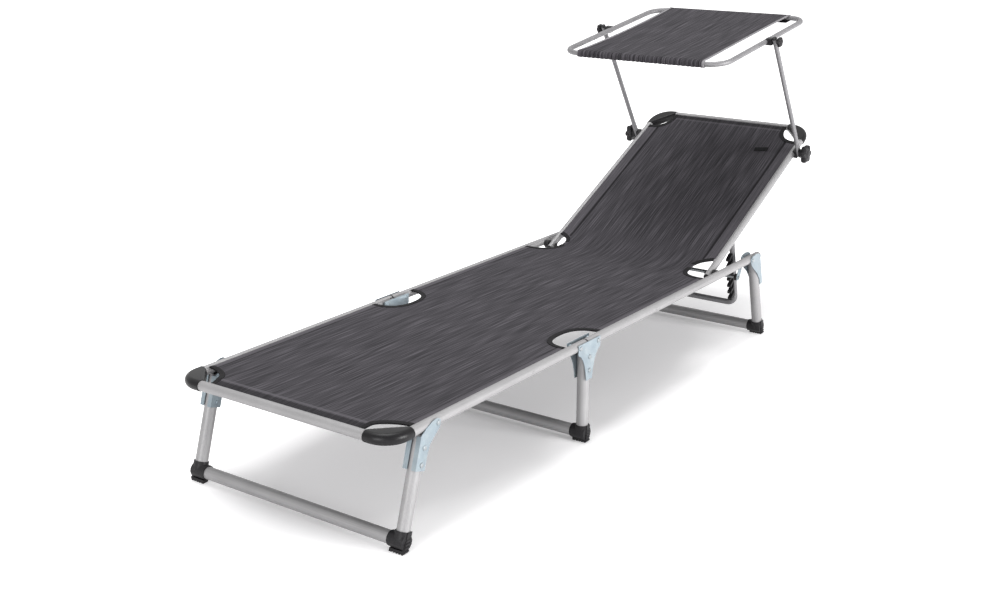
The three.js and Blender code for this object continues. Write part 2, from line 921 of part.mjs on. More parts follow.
// The spacer between backrest and rail with the pin that the backrest turns on
function hingeBlock() {
  const start = backHalf + backRadius + fitGap;
  const end = railHalf - railRadius - fitGap;
  const headEnd = backHalf - backRadius - fitGap;
  return join(
    roundX(hingeBlockDiameter / 2, start, end, 0, 0, tubeSides),
    roundX(hingePinDiameter / 2, headEnd - hingeHeadThickness / 2, start + overrun, 0, 0),
    roundX(hingeHeadDiameter / 2, headEnd - hingeHeadThickness, headEnd, 0, 0),
  );
}

// The saddle that holds a canopy arm's foot off the backrest tube
function armClampBlock() {
  const end = backHalf + backRadius + fitGap + clampBlockWidth;
  const half = clampBlockLength / 2;
  const low = -clampBlockHeight / 2;
  const saddle = (backRadius + fitGap) / Math.cos(Math.PI / tubeSides);
  return cut(
    block(backHalf + backRadius / 2, end, -half, half, low, -low),
    roundY(saddle, -clampBlockLength, clampBlockLength).translate(backHalf, 0, 0),
    roundX(clearRadius(boltRadius), backHalf, end + overrun, 0, 0),
  );
}

// Prop, in its own flat frame: Y runs down the prop from its pivot

function propBow() {
  const corners = [
    [propHalf, -propHead],
    [propHalf, propLength],
    [-propHalf, propLength],
    [-propHalf, -propHead],
  ];
  const pins = [1, -1].flatMap((sign) => {
    const place = (from, to, radius) =>
      roundX(radius, Math.min(sign * from, sign * to), Math.max(sign * from, sign * to), 0, 0);
    const tubeFace = backHalf - backRadius - fitGap;
    return [
      place(propHalf - propRadius / 2, backHalf, propPinDiameter / 2),
      place(propHalf + propRadius / 2, tubeFace, propWasherDiameter / 2),
    ];
  });
  const tube = tubeAlong(ring(propRadius, propRadius - propWall), corners, propBend, slimSides);
  return join(tube, ...pins);
}

// A strip of hooked teeth; its slots open at the front and run up to the rear
function ratchet() {
  const back = -propRadius - fitGap;
  const root = back - ratchetBack;
  const tip = back - ratchetReach;
  const end = ratchetStart + toothPitch * (toothCount - 1) + toothHeight;
  const points = [
    [ratchetStart - toothSlant, back],
    [ratchetStart - toothSlant, root],
  ];
  for (let i = 0; i < toothCount; i++) {
    const y = ratchetStart + i * toothPitch;
    if (i > 0) points.push([y - toothSlant, root]);
    points.push([y, tip], [y + toothHeight, tip]);
    if (i < toothCount - 1) points.push([y + toothHeight - toothSlant, root]);
  }
  points.push([end - toothSlant / 2, back]);
  const half = ratchetWidth / 2;
  return plateX(outline(points), propHalf - half, propHalf + half);
}

// Canopy arms, in a frame at the lower knob: Y runs up the arm

// One ring of the arm: a circle pressed flat to a thickness and spread to a width
function armRing(y, halfThickness, halfWidth) {
  const points = [];
  for (let i = 0; i < slimSides; i++) {
    const angle = (2 * Math.PI * (i + 1 / 2)) / slimSides;
    const across = armRadius * Math.cos(angle);
    const pressed = THREE.MathUtils.clamp(across, -halfThickness, halfThickness);
    points.push(new THREE.Vector3(armHalf + pressed, y, halfWidth * Math.sin(angle)));
  }
  return points;
}

function canopyArm() {
  const flat = paddleThickness / 2;
  const wide = paddleWidth / 2;
  const top = armLength + armTop;
  const rings = [
    armRing(-armTail, flat, wide / 2),
    armRing(-armTail * Math.cos(Math.PI / 4), flat, wide * Math.cos(Math.PI / 6)),
    armRing(-armTail / 4, flat, wide),
    armRing(paddleLength, flat, wide),
    armRing(paddleLength + paddleTaper / 2, (flat + armRadius) / 2, (wide + armRadius) / 2),
    armRing(paddleLength + paddleTaper, armRadius, armRadius),
    armRing(top, armRadius, armRadius),
  ];
  const bore = roundY(armRadius - armWall, paddleLength + paddleTaper, top + overrun, slimSides);
  return cut(
    loft(rings),
    bore.translate(armHalf, 0, 0),
    roundX(clearRadius(boltRadius), armHalf - armRadius - overrun, armHalf + armRadius + overrun, 0, 0),
    roundX(
      clearRadius(boltRadius),
      armHalf - armRadius - overrun,
      armHalf + armRadius + overrun,
      armLength,
      0,
    ),
  );
}

function armCap() {
  const plug = domedPlug(armRadius, armRadius - armWall, capDepth, capRim, capCrown);
  return plug.translate(armHalf, armLength + armTop + fitGap, 0);
}

// Knobs: a lobed grip on a neck, with the bolt that it turns

function knobOutline(radius, lobes, lobeDepth) {
  const steps = lobes * 6;
  const points = [];
  for (let i = 0; i < steps; i++) {
    const angle = (2 * Math.PI * i) / steps;
    const reach = radius - (lobeDepth / 2) * (1 - Math.cos(lobes * angle));
    points.push([reach * Math.cos(angle), reach * Math.sin(angle)]);
  }
  return outline(points);
}

function knob(start, neck, thickness, radius, lobeDepth, boltEnd) {
  const grip = start + neck;
  return join(
    plateX(knobOutline(radius, knobLobes, lobeDepth), grip, grip + thickness),
    roundX(radius / 2, start, grip + neck / 2, 0, 0, tubeSides),
    roundX(boltRadius, boltEnd, start + neck, 0, 0),
  );
}

// Canopy, in its own flat frame at the upper knobs

function canopyFrame() {
  const half = (sign) =>
    tubeAlong(
      ring(canopyRadius, canopyRadius - canopyWall),
      [
        [-sign * overrun, -sign * canopyHalfLength],
        [sign * canopyHalf, -sign * canopyHalfLength],
        [sign * canopyHalf, sign * canopyHalfLength],
        [-sign * overrun, sign * canopyHalfLength],
      ],
      canopyBend,
      slimSides,
    );
  const blind = (sign) => {
    const start = sign * (canopyHalf - boltInset - fitGap);
    const end = sign * (canopyHalf + canopyRadius + overrun);
    return roundX(clearRadius(boltRadius), Math.min(start, end), Math.max(start, end), 0, 0);
  };
  return cut(join(half(1), half(-1)), blind(1), blind(-1));
}

function canopyBlock() {
  const end = canopyHalf + canopyRadius + fitGap + canopyBlockWidth;
  const half = canopyBlockSize / 2;
  const saddle = (canopyRadius + fitGap) / Math.cos(Math.PI / slimSides);
  return cut(
    block(canopyHalf, end, -half, half, -half, half),
    roundY(saddle, -canopyBlockSize, canopyBlockSize).translate(canopyHalf, 0, 0),
    roundX(clearRadius(boltRadius), canopyHalf, end + overrun, 0, 0),
  );
}

// A fabric tube round a canopy bar, gathered into folds along its length
function coverSleeve(half, y, gathers, depth) {
  const bore = (canopyRadius + fitGap) / Math.cos(Math.PI / slimSides);
  const outer = bore + coverThickness;
  const profile = [
    [bore, half],
    [bore, -half],
  ];
  const steps = Math.max(gathers * 2, 1);
  for (let i = 0; i <= steps; i++) {
    const swell = i % 2 ? depth : 0;
    profile.push([outer + swell, -half + (2 * half * i) / steps]);
  }
  profile.push(profile[0]);
  const sleeve = new THREE.LatheGeometry(
    profile.map(([r, x]) => new THREE.Vector2(r, x)),
    slimSides,
  );
  return sleeve.rotateZ(-Math.PI / 2).translate(0, y, 0);
}

function canopyCover() {
  const bore = (canopyRadius + fitGap) / Math.cos(Math.PI / slimSides);
  const shape = mirroredPanel((half) => {
    half.moveTo(coverFrontHalf, -canopyHalfLength);
    half.quadraticCurveTo(coverMiddleHalf, 0, coverBackHalf, canopyHalfLength);
  });
  const frontHalf = canopyHalf - canopyBend - coverSleeveMargin;
  return join(
    plateZ(shape, bore, bore + coverThickness),
    coverSleeve(frontHalf, -canopyHalfLength, gatherCount, gatherDepth),
    coverSleeve(coverBackHalf, canopyHalfLength, 0, 0),
  );
}

// Assembly

const rise = railHeight - crossbarHeight;
const frontSplay = Math.atan2(frontLegPlace - frontFootPlace, rise);
const rearSplay = Math.atan2(rearFootPlace - rearLegPlace, rise);

const footHalf = groupAt(0, railHeight);
footHalf.add(piece("foot_rail_frame", footRailFrame(), anodised));
const footSleeve = cornerSleeve(railHalf, 0, footSleeveReach, railRadius, railBend);
footHalf.add(...pair("corner_sleeve", footSleeve, satinSleeve));
footHalf.add(...pair("split_ring", splitRing(), blackPlastic));
footHalf.add(piece("foot_sling", footSling(), slingFabric));

const seatHalf = groupAt(0, railHeight);
seatHalf.add(...pair("rail", seatRail(), anodised));
const railPlug = domedPlug(railRadius, railBore, plugDepth, plugRim, plugCrown);
railPlug.translate(railHalf, railEndPlace + fitGap, 0);
seatHalf.add(...pair("rail_plug", railPlug, anodised));
seatHalf.add(piece("seat_sling", seatSling(), slingFabric));

const backHinge = groupAt(backPivotPlace, backPivotHeight);
backHinge.add(...pair("hinge_block", hingeBlock(), blackPlastic));

const midHoles = [gussetUpperRivet, gussetLowerRivet].map((drop) =>
  roundX(clearRadius(rivetRadius), 0, railSpacing, 0, rise - drop),
);
const midLegs = legSet("mid", splitPlace, 0, midHoles);
const foldJoint = groupAt(splitPlace, railHeight);
foldJoint.add(...pair("fold_gusset", foldGusset(), zinc));

const frontHoles = [upperRivetDrop, lowerRivetDrop].map((drop) =>
  roundX(
    clearRadius(rivetRadius),
    0,
    railSpacing,
    frontLegPlace - frontFootPlace - drop * Math.sin(frontSplay),
    rise - drop * Math.cos(frontSplay),
  ),
);
const frontLegs = legSet("front", frontFootPlace, frontSplay, frontHoles);
const frontJoint = groupAt(frontLegPlace, railHeight);
frontJoint.add(...pair("front_bracket", frontBracket(frontSplay), zinc));

const rearHoles = backRivets(clearRadius(rivetRadius), clearRadius(rivetRadius), rearSplay).map((hole) =>
  hole.translate(0, rearLegPlace - rearFootPlace, rise),
);
const rearLegs = legSet("rear", rearFootPlace, -rearSplay, rearHoles);
const rearJoint = groupAt(rearLegPlace, railHeight);
rearJoint.add(...pair("rear_bracket", rearBracket(rearSplay), zinc));
const restJoint = groupAt(barPlace, barHeight);
restJoint.add(piece("prop_rest_bar", restBar(), steelBar));
restJoint.add(...pair("bar_bush", barBush(), blackPlastic));

const backrest = groupAt(backPivotPlace, backPivotHeight, radians(backAngle));
backrest.add(piece("backrest_frame", backrestFrame(), anodised));
const backSleeve = cornerSleeve(backHalf, backLength, backSleeveReach, backRadius, backBend);
backrest.add(...pair("back_sleeve", backSleeve, satinSleeve));
backrest.add(piece("back_sling", backSling(), slingFabric));
backrest.add(...pair("back_hinge_bush", hingeBush(), blackPlastic));
const clampFrame = groupAt(clampPlace, 0);
clampFrame.add(...pair("arm_clamp_block", armClampBlock(), blackPlastic));
backrest.add(clampFrame);

const prop = groupAt(propPlace, -propDrop, radians(propAngle - backAngle));
prop.add(piece("prop_bow", propBow(), anodised));
prop.add(...pair("ratchet", ratchet(), blackPlastic));
backrest.add(prop);

const arms = groupAt(clampPlace, 0, radians(armAngle - backAngle));
arms.add(...pair("canopy_arm", canopyArm(), anodised));
arms.add(...pair("arm_cap", armCap(), blackPlastic));
const lowerStart = armHalf + paddleThickness / 2 + fitGap;
const lowerKnob = knob(
  lowerStart,
  lowerKnobNeck,
  lowerKnobThickness,
  lowerKnobDiameter / 2,
  knobLobeDepth,
  backHalf - boltInset,
);
arms.add(...pair("lower_knob", lowerKnob, blackPlastic));
backrest.add(arms);

const canopy = groupAt(armLength, 0, radians(canopyTilt - armAngle));
canopy.add(piece("canopy_frame", canopyFrame(), anodised));
canopy.add(piece("canopy_cover", canopyCover(), slingFabric));
canopy.add(...pair("canopy_block", canopyBlock(), blackPlastic));
const upperKnob = knob(
  armHalf + armRadius + fitGap,
  upperKnobNeck,
  upperKnobThickness,
  upperKnobDiameter / 2,
  knobLobeDepth / 3,
  canopyHalf - boltInset,
);
canopy.add(...pair("upper_knob", upperKnob, blackPlastic));
arms.add(canopy);

const model = new THREE.Group();
model.add(footHalf, seatHalf, backHinge, midLegs, foldJoint, frontLegs, frontJoint);
model.add(rearLegs, rearJoint, restJoint, backrest);

// The finished lounger stands centred on the ground
model.updateMatrixWorld(true);
const bounds = new THREE.Box3().setFromObject(model, true);
model.position.set(
  -(bounds.min.x + bounds.max.x) / 2,
  -(bounds.min.y + bounds.max.y) / 2,
  -bounds.min.z,
);
model.updateMatrixWorld(true);

const sunLounger = new THREE.Group();
sunLounger.add(model);

export default sunLounger;
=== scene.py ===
import math
import random

import bmesh
import bpy
from mathutils import Matrix, Vector


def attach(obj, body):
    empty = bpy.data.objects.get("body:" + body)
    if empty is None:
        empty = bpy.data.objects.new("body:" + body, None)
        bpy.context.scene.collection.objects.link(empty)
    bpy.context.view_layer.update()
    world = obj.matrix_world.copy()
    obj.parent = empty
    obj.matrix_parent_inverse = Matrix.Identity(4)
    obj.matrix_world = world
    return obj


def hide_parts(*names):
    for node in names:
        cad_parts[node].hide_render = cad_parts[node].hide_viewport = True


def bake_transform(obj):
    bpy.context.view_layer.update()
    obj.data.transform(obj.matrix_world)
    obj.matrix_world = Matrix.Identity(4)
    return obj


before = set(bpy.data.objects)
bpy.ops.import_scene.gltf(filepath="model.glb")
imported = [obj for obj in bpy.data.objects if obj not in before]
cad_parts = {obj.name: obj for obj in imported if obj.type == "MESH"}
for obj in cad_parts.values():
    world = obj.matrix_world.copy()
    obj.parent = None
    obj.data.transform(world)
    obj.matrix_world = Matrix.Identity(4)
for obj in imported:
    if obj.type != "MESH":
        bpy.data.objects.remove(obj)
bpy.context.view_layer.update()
scene = bpy.context.scene

# Every piece is built in millimetres in the maker's frame, foot bar at y = 0, and ends up in the row frame
rowShift = 989.0019
toRow = Matrix.Scale(0.001, 4) @ Matrix.Translation((0, -rowShift, 0))


def turnX(degrees):
    return Matrix.Rotation(math.radians(degrees), 4, "X")


def shift(x, y, z):
    return Matrix.Translation((x, y, z))


# The places that the pieces share, as the solids have them
places = {
    "railHeight": 240, "railHalf": 285, "railRadius": 11,
    "legHalf": 282, "legRadius": 14, "crossbarHeight": 22, "legTop": 228.7,
    "frontFoot": 30, "frontLeg": 98, "midLeg": 688, "rearFoot": 1629, "rearLeg": 1571,
    "foldFoot": 651, "foldSeat": 725, "seatSplit": 1000,
    "backPivot": 1372, "backHeight": 236, "backAngle": 26, "backHalf": 251, "backRadius": 9.5,
    "backLength": 676, "backBend": 52, "propPivot": 180, "propDrop": 4, "propAngle": -104,
    "restBar": 1516.4, "restBarHeight": 192, "clamp": 560, "armHalf": 270, "armLength": 402, "armAngle": 96,
    "canopyHalf": 245, "canopyLong": 263, "canopyRadius": 7, "canopyBend": 50, "canopyAngle": -113.8,
}
railHeight = places["railHeight"]
railFrame = shift(0, 0, railHeight)
backFrame = shift(0, places["backPivot"], places["backHeight"]) @ turnX(places["backAngle"])
propFrame = backFrame @ shift(0, places["propPivot"], -places["propDrop"]) @ turnX(places["propAngle"])
armFrame = backFrame @ shift(0, places["clamp"], 0) @ turnX(places["armAngle"])
canopyFrame = armFrame @ shift(0, places["armLength"], 0) @ turnX(places["canopyAngle"])


# Materials

def linear(hexColour):
    parts = [int(hexColour[i:i + 2], 16) / 255 for i in (1, 3, 5)]
    return [p / 12.92 if p <= 0.04045 else ((p + 0.055) / 1.055) ** 2.4 for p in parts] + [1]


def addNode(tree, kind, inputs=None, **settings):
    node = tree.nodes.new(kind)
    for key, value in settings.items():
        setattr(node, key, value)
    for key, value in (inputs or {}).items():
        if isinstance(value, bpy.types.NodeSocket):
            tree.links.new(value, node.inputs[key])
        else:
            node.inputs[key].default_value = value
    return node


def startMaterial(name, **surface):
    material = bpy.data.materials.new(name)
    material.use_nodes = True
    tree = material.node_tree
    shader = tree.nodes["Principled BSDF"]
    for key, value in surface.items():
        shader.inputs[key.replace("_", " ")].default_value = value
    return material, tree, shader


def addNoise(tree, vector, scale, detail):
    inputs = {"Vector": vector, "Scale": scale, "Detail": detail}
    return addNode(tree, "ShaderNodeTexNoise", inputs).outputs[0]


def mixValues(tree, share, first, second):
    return addNode(tree, "ShaderNodeMix", {"Factor": share, 2: first, 3: second}).outputs[0]


def objectPlace(tree):
    return addNode(tree, "ShaderNodeTexCoord").outputs["Object"]


def scaled(tree, vector, scale):
    return addNode(tree, "ShaderNodeMapping", {"Vector": vector, "Scale": scale}).outputs[0]


def addRamp(tree, share, stops):
    node = addNode(tree, "ShaderNodeValToRGB", {"Fac": share})
    ramp = node.color_ramp
    while len(ramp.elements) < len(stops):
        ramp.elements.new(0.5)
    for element, (position, colour) in zip(ramp.elements, stops):
        element.position = position
        element.color = linear(colour)
    return node.outputs[0]


def setColour(tree, shader, share, stops):
    tree.links.new(addRamp(tree, share, stops), shader.inputs["Base Color"])


def setBump(tree, shader, height, strength, distance):
    bump = addNode(tree, "ShaderNodeBump", {"Height": height, "Strength": strength, "Distance": distance})
    tree.links.new(bump.outputs[0], shader.inputs["Normal"])


# The grey tone is a darker copy of the satin aluminium: painted shade on the prop, and on the canopy hoop
# and arms partly their own darker grey and partly painted shade
aluminium = {
    "satin": ("#8b8a8b", "#9f9e9f"), "greyAndShade": ("#737274", "#868587"), "metallic": 0.3,
    "smooth": 0.44, "dull": 0.56, "streakWidth": 0.0012, "streakLength": 0.16,
}


# Extruded tube, etched and anodised: a dull silver with faint draw lines along the tube
def anodisedAluminium(along, tone="satin"):
    name = tone + "AnodisedAluminium" + along
    material, tree, shader = startMaterial(name, Metallic=aluminium["metallic"])
    fine, long = 1 / aluminium["streakWidth"], 1 / aluminium["streakLength"]
    scale = [long if axis == along else fine for axis in "XYZ"]
    streaks = addNoise(tree, scaled(tree, objectPlace(tree), scale), 1, 2)
    clouds = addNoise(tree, objectPlace(tree), 14, 3)
    dark, pale = aluminium[tone]
    setColour(tree, shader, mixValues(tree, 0.4, streaks, clouds), [(0.3, dark), (0.7, pale)])
    rough = addNode(
        tree, "ShaderNodeMapRange",
        {"Value": streaks, "To Min": aluminium["smooth"], "To Max": aluminium["dull"]},
    )
    tree.links.new(rough.outputs[0], shader.inputs["Roughness"])
    setBump(tree, shader, streaks, 0.05, 0.0003)
    return material


# Pressed steel, bright zinc with a blue passivate: cool pale metal, slightly cloudy
def zincPlate():
    material, tree, shader = startMaterial("bluePassivatedZinc", Metallic=0.4, Roughness=0.4)
    clouds = addNoise(tree, objectPlace(tree), 38, 2)
    grain = addNoise(tree, objectPlace(tree), 420, 2)
    stops = [(0.3, "#7f8b93"), (0.5, "#88949b"), (0.7, "#959fa4")]
    setColour(tree, shader, mixValues(tree, 0.25, clouds, grain), stops)
    setBump(tree, shader, grain, 0.05, 0.0003)
    return material


# Injection moulded polyamide: black with a fine spark-eroded grain that greys where it catches light
def mouldedPlastic(name, dark, pale, roughness, grain):
    material, tree, shader = startMaterial(name, Metallic=0, Roughness=roughness, Specular_IOR_Level=0.22)
    grit = addNoise(tree, objectPlace(tree), 1 / grain, 3)
    setColour(tree, shader, grit, [(0.35, dark), (0.7, pale)])
    setBump(tree, shader, grit, 0.18, 0.0004)
    return material


# Cold drawn bar with thin zinc: darker than the tubes, lines along the bar
def drawnSteel():
    material, tree, shader = startMaterial("drawnSteel", Metallic=0.9, Roughness=0.34)
    lines = addNoise(tree, scaled(tree, objectPlace(tree), (10, 900, 900)), 1, 2)
    setColour(tree, shader, lines, [(0.3, "#7c8082"), (0.7, "#a3a7a9")])
    return material


cloth = {
    # The hem colour is a paler tone for the doubled hems, partly painted highlight; the seam colour is
    # painted shadow along the hems' seams, before the end ridges and in the cover's gathers
    "deep": "#2d2c2f", "ground": "#3f3d41", "thread": "#58555a", "seamShadow": "#141315", "hemAndHighlight": "#625f64",
    "threadWidth": 0.0013, "threadLength": 0.09, "bandWidth": 0.0032, "bandLength": 0.16,
    "weave": 0.0024,  # the real mesh is about 1 mm; drawn coarser so that it shows
    "waves": 0.157,  # a wave texture repeats after about this over its scale
}


# Coated polyester mesh in charcoal melange: single grey threads run along the lounger; a paler hem tone,
# partly painted highlight, and a painted seam shadow are mixed in from the mesh's attributes
def slingCloth():
    material, tree, shader = startMaterial(
        "coatedPolyesterMesh", Metallic=0, Roughness=0.8, Specular_IOR_Level=0.12
    )
    uv = addNode(tree, "ShaderNodeUVMap", uv_map="clothMap").outputs[0]

    def threads(width, length):
        return addNoise(tree, scaled(tree, uv, (1 / width, 1 / length, 1)), 1, 0)

    def towards(colour, attribute, target, amount=1):
        share = addNode(tree, "ShaderNodeAttribute", attribute_name=attribute).outputs["Fac"]
        part = addNode(tree, "ShaderNodeMath", {0: share, 1: amount}, operation="MULTIPLY").outputs[0]
        inputs = {"Factor": part, 6: colour, 7: linear(target)}
        return addNode(tree, "ShaderNodeMix", inputs, data_type="RGBA").outputs[2]

    single = threads(cloth["threadWidth"], cloth["threadLength"])
    bands = threads(cloth["bandWidth"], cloth["bandLength"])
    stops = [(0.34, cloth["deep"]), (0.5, cloth["ground"]), (0.68, cloth["thread"])]
    # painted highlight on the hems and painted shadow along the seams are mixed into the cloth's colour here
    hemAndHighlightColour = towards(addRamp(tree, mixValues(tree, 0.4, single, bands), stops), "hemAndHighlight", cloth["hemAndHighlight"], 0.7)
    tree.links.new(towards(hemAndHighlightColour, "seamShadow", cloth["seamShadow"]), shader.inputs["Base Color"])
    weave = {"Vector": uv, "Scale": cloth["waves"] / cloth["weave"]}
    across, down = (
        addNode(tree, "ShaderNodeTexWave", weave, bands_direction=axis).outputs["Fac"] for axis in "XY"
    )
    height = mixValues(tree, 0.5, mixValues(tree, 0.5, across, down), single)
    setBump(tree, shader, height, 0.3, 0.0006)
    return material


# Woven polyester tape with fine ribs
def webbing(name, dark, pale):
    material, tree, shader = startMaterial(name, Metallic=0, Roughness=0.75, Specular_IOR_Level=0.15)
    ribs = addNoise(tree, objectPlace(tree), 420, 2)
    setColour(tree, shader, ribs, [(0.35, dark), (0.7, pale)])
    setBump(tree, shader, ribs, 0.4, 0.0005)
    return material


finishes = {
    "tubeX": anodisedAluminium("X"), "tubeY": anodisedAluminium("Y"), "tubeZ": anodisedAluminium("Z"),
    # the grey tones are the aluminium darkened as painted shade for the prop and partly for the canopy tubes
    "greyAndShadeY": anodisedAluminium("Y", "greyAndShade"), "greyAndShadeZ": anodisedAluminium("Z", "greyAndShade"),
    "zinc": zincPlate(),
    "plastic": mouldedPlastic("blackPolyamide", "#121113", "#29282a", 0.48, 0.0012),
    "sleeve": mouldedPlastic("satinBlackSleeve", "#0d0c0e", "#171618", 0.36, 0.002),
    "steel": drawnSteel(),
    "cloth": slingCloth(),
    "tape": webbing("blackTape", "#0e0d0f", "#232224"),
    "selvedge": webbing("greySelvedge", "#7b797c", "#9b999c"),
    "tag": webbing("wovenTag", "#0a0a0b", "#18181a"),
}
print("materials made")


# Piece helpers

# Turns a bmesh in millimetres into a piece in the row frame
def makeObject(name, bm, place, finish, sharp=38):
    bmesh.ops.transform(bm, matrix=toRow @ place, verts=bm.verts)
    bmesh.ops.recalc_face_normals(bm, faces=bm.faces)
    mesh = bpy.data.meshes.new(name)
    bm.to_mesh(mesh)
    bm.free()
    piece = bpy.data.objects.new(name, mesh)
    scene.collection.objects.link(piece)
    mesh.materials.append(finishes[finish])
    for face in mesh.polygons:
        face.use_smooth = True
    mesh.set_sharp_from_angle(angle=math.radians(sharp))
    return piece


def fitPiece(name, bm, place, finish, body, stands=(), sharp=38):
    piece = makeObject(name, bm, place, finish, sharp)
    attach(piece, body)
    if stands:
        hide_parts(*stands)
    return piece


# The piece as drawn is the right-hand one, on +X; a mirrored copy goes on the left
def bothSides(name, bm, place, finish, body, node=None, sharp=38):
    other = bm.copy()
    bmesh.ops.scale(other, vec=(-1, 1, 1), verts=other.verts)
    bmesh.ops.reverse_faces(other, faces=other.faces)
    bodies = body if isinstance(body, tuple) else (body, body)
    stands = ([node + "_right"], [node + "_left"]) if node else ((), ())
    return (
        fitPiece(name + "Right", bm, place, finish, bodies[0], stands[0], sharp),
        fitPiece(name + "Left", other, place, finish, bodies[1], stands[1], sharp),
    )


def addModifier(piece, kind, **settings):
    modifier = piece.modifiers.new(kind.title().replace("_", ""), kind)
    for key, value in settings.items():
        setattr(modifier, key, value)
    return modifier


# Sweeps a circle through runs and left-hand bends in the frame's flat plane; heading is in degrees from +X,
# and a groove pushes in the vertex that looks up and to the left
def sweepTube(bm, radius, start, heading, steps, sides=40, groove=0, closed=False):
    angle = math.radians(heading)
    forward = Vector((math.cos(angle), math.sin(angle), 0))
    left = Vector((-forward.y, forward.x, 0))
    point = Vector(start)
    facing = Matrix((left, (0, 0, 1), forward)).transposed().to_4x4()
    ring = bmesh.ops.create_circle(
        bm, radius=radius, segments=sides, cap_ends=False, matrix=Matrix.Translation(point) @ facing
    )["verts"]
    if groove:
        lip = left * math.sqrt(0.5) + Vector((0, 0, math.sqrt(0.5)))
        for vertex in ring:
            if (vertex.co - point).normalized().dot(lip) > 0.9995:
                vertex.co -= lip * groove
    edges = list({e for v in ring for e in v.link_edges})
    for kind, *values in steps:
        if kind == "run":
            moved = bmesh.ops.extrude_edge_only(bm, edges=edges)["geom"]
            verts = [g for g in moved if isinstance(g, bmesh.types.BMVert)]
            edges = [
                g for g in moved
                if isinstance(g, bmesh.types.BMEdge) and all(v in set(verts) for v in g.verts)
            ]
            bmesh.ops.translate(bm, vec=forward * values[0], verts=verts)
            point += forward * values[0]
        else:
            bendRadius, degrees, count = values
            centre = point + left * bendRadius
            turn = math.radians(degrees)
            geom = list({v for e in edges for v in e.verts}) + edges
            last = bmesh.ops.spin(
                bm, geom=geom, cent=centre, axis=(0, 0, 1), angle=turn, steps=count, use_duplicate=False
            )["geom_last"]
            edges = [g for g in last if isinstance(g, bmesh.types.BMEdge)]
            spun = Matrix.Rotation(turn, 3, "Z")
            point = centre + spun @ (point - centre)
            forward = spun @ forward
            left = spun @ left
    if closed:
        bmesh.ops.remove_doubles(bm, verts=bm.verts, dist=0.01)
    else:
        bmesh.ops.holes_fill(bm, edges=[e for e in bm.edges if e.is_boundary], sides=0)


# Turns a profile of (radius, place) pairs about X
def turned(bm, profile, matrix=None, sides=40):
    verts = [bm.verts.new((x, r, 0)) for r, x in profile]
    edges = [bm.edges.new(pair) for pair in zip(verts, verts[1:])]
    made = bmesh.ops.spin(
        bm, geom=verts + edges, cent=(0, 0, 0), axis=(1, 0, 0), angle=2 * math.pi, steps=sides,
        use_merge=True,
    )
    fresh = {v for g in made["geom_last"] for v in ([g] if isinstance(g, bmesh.types.BMVert) else g.verts)}
    fresh |= set(verts)
    grown = set(fresh)
    frontier = list(fresh)
    while frontier:
        vertex = frontier.pop()
        for edge in vertex.link_edges:
            other = edge.other_vert(vertex)
            if other not in grown:
                grown.add(other)
                frontier.append(other)
    bmesh.ops.remove_doubles(bm, verts=list(grown), dist=0.005)
    if matrix is not None:
        bmesh.ops.transform(bm, matrix=matrix, verts=[v for v in grown if v.is_valid])
    return bm


# Turns a profile's axis from +X to +Y, or to -Y, at a place
def facingHead(x, y, sign=1):
    return shift(x, y, 0) @ Matrix.Rotation(sign * math.pi / 2, 4, "Z")


# The profile of a plain round bar
def rod(radius, start, end):
    return [(0, start), (radius, start), (radius, end), (0, end)]


# The profile of a button with a domed top
def domed(radius, height, rise):
    steps = 6
    curve = [
        (radius * math.cos(math.pi / 2 * i / steps), height + rise * math.sin(math.pi / 2 * i / steps))
        for i in range(steps + 1)
    ]
    return [(0, 0), (radius, 0)] + curve[:-1] + [(0, height + rise)]


# Merged copies of a right and a left solid with their edges broken
def refinedPair(node, finish, body, name, bevel, sharp=38, segments=2):
    for side in ("right", "left"):
        solid = node + "_" + side
        bm = bmesh.new()
        bm.from_mesh(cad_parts[solid].data)
        bmesh.ops.transform(bm, matrix=toRow.inverted(), verts=bm.verts)
        bmesh.ops.remove_doubles(bm, verts=bm.verts, dist=0.002)
        bmesh.ops.dissolve_limit(bm, angle_limit=math.radians(1.5), verts=bm.verts, edges=bm.edges)
        piece = fitPiece(name + side.title(), bm, Matrix.Identity(4), finish, body, [solid], sharp)
        addModifier(
            piece, "BEVEL", width=bevel / 1000, segments=segments, limit_method="ANGLE",
            angle_limit=math.radians(40), use_clamp_overlap=True, harden_normals=False,
        )


# A sheet of columns and rows whose corners go where pointAt(column, row) says; a closed one is a solid
def shapedGrid(columns, rows, pointAt, closed=False):
    bm = bmesh.new()
    bmesh.ops.create_grid(bm, x_segments=columns, y_segments=rows, size=1)
    for vertex in bm.verts:
        i = round((vertex.co.x + 1) / 2 * columns)
        j = round((vertex.co.y + 1) / 2 * rows)
        vertex.co = pointAt(i, j)
    if closed:
        bmesh.ops.remove_doubles(bm, verts=bm.verts, dist=0.001)
        bmesh.ops.holes_fill(bm, edges=[e for e in bm.edges if e.is_boundary], sides=0)
    return bm


# A flat tape laid over a cloth edge, from stations of (point, inward direction, upward direction)
def edgeTape(name, stations, width, thick, finish, place):
    rim = thick / 2
    section = [(-1.4, 0), (-1, 0.8 * rim), (0.6, rim), (width - 0.8, rim), (width, 0.3 * rim)]
    section += [(n, -h) for n, h in reversed(section[1:])] + section[:1]

    def pointAt(i, j):
        point, inward, upward = stations[j]
        n, h = section[i]
        return point + inward * n + upward * h

    bm = shapedGrid(len(section) - 1, len(stations) - 1, pointAt, closed=True)
    return makeObject(name, bm, place, finish, 50)


# Rails: grooved tube, bent at the foot end

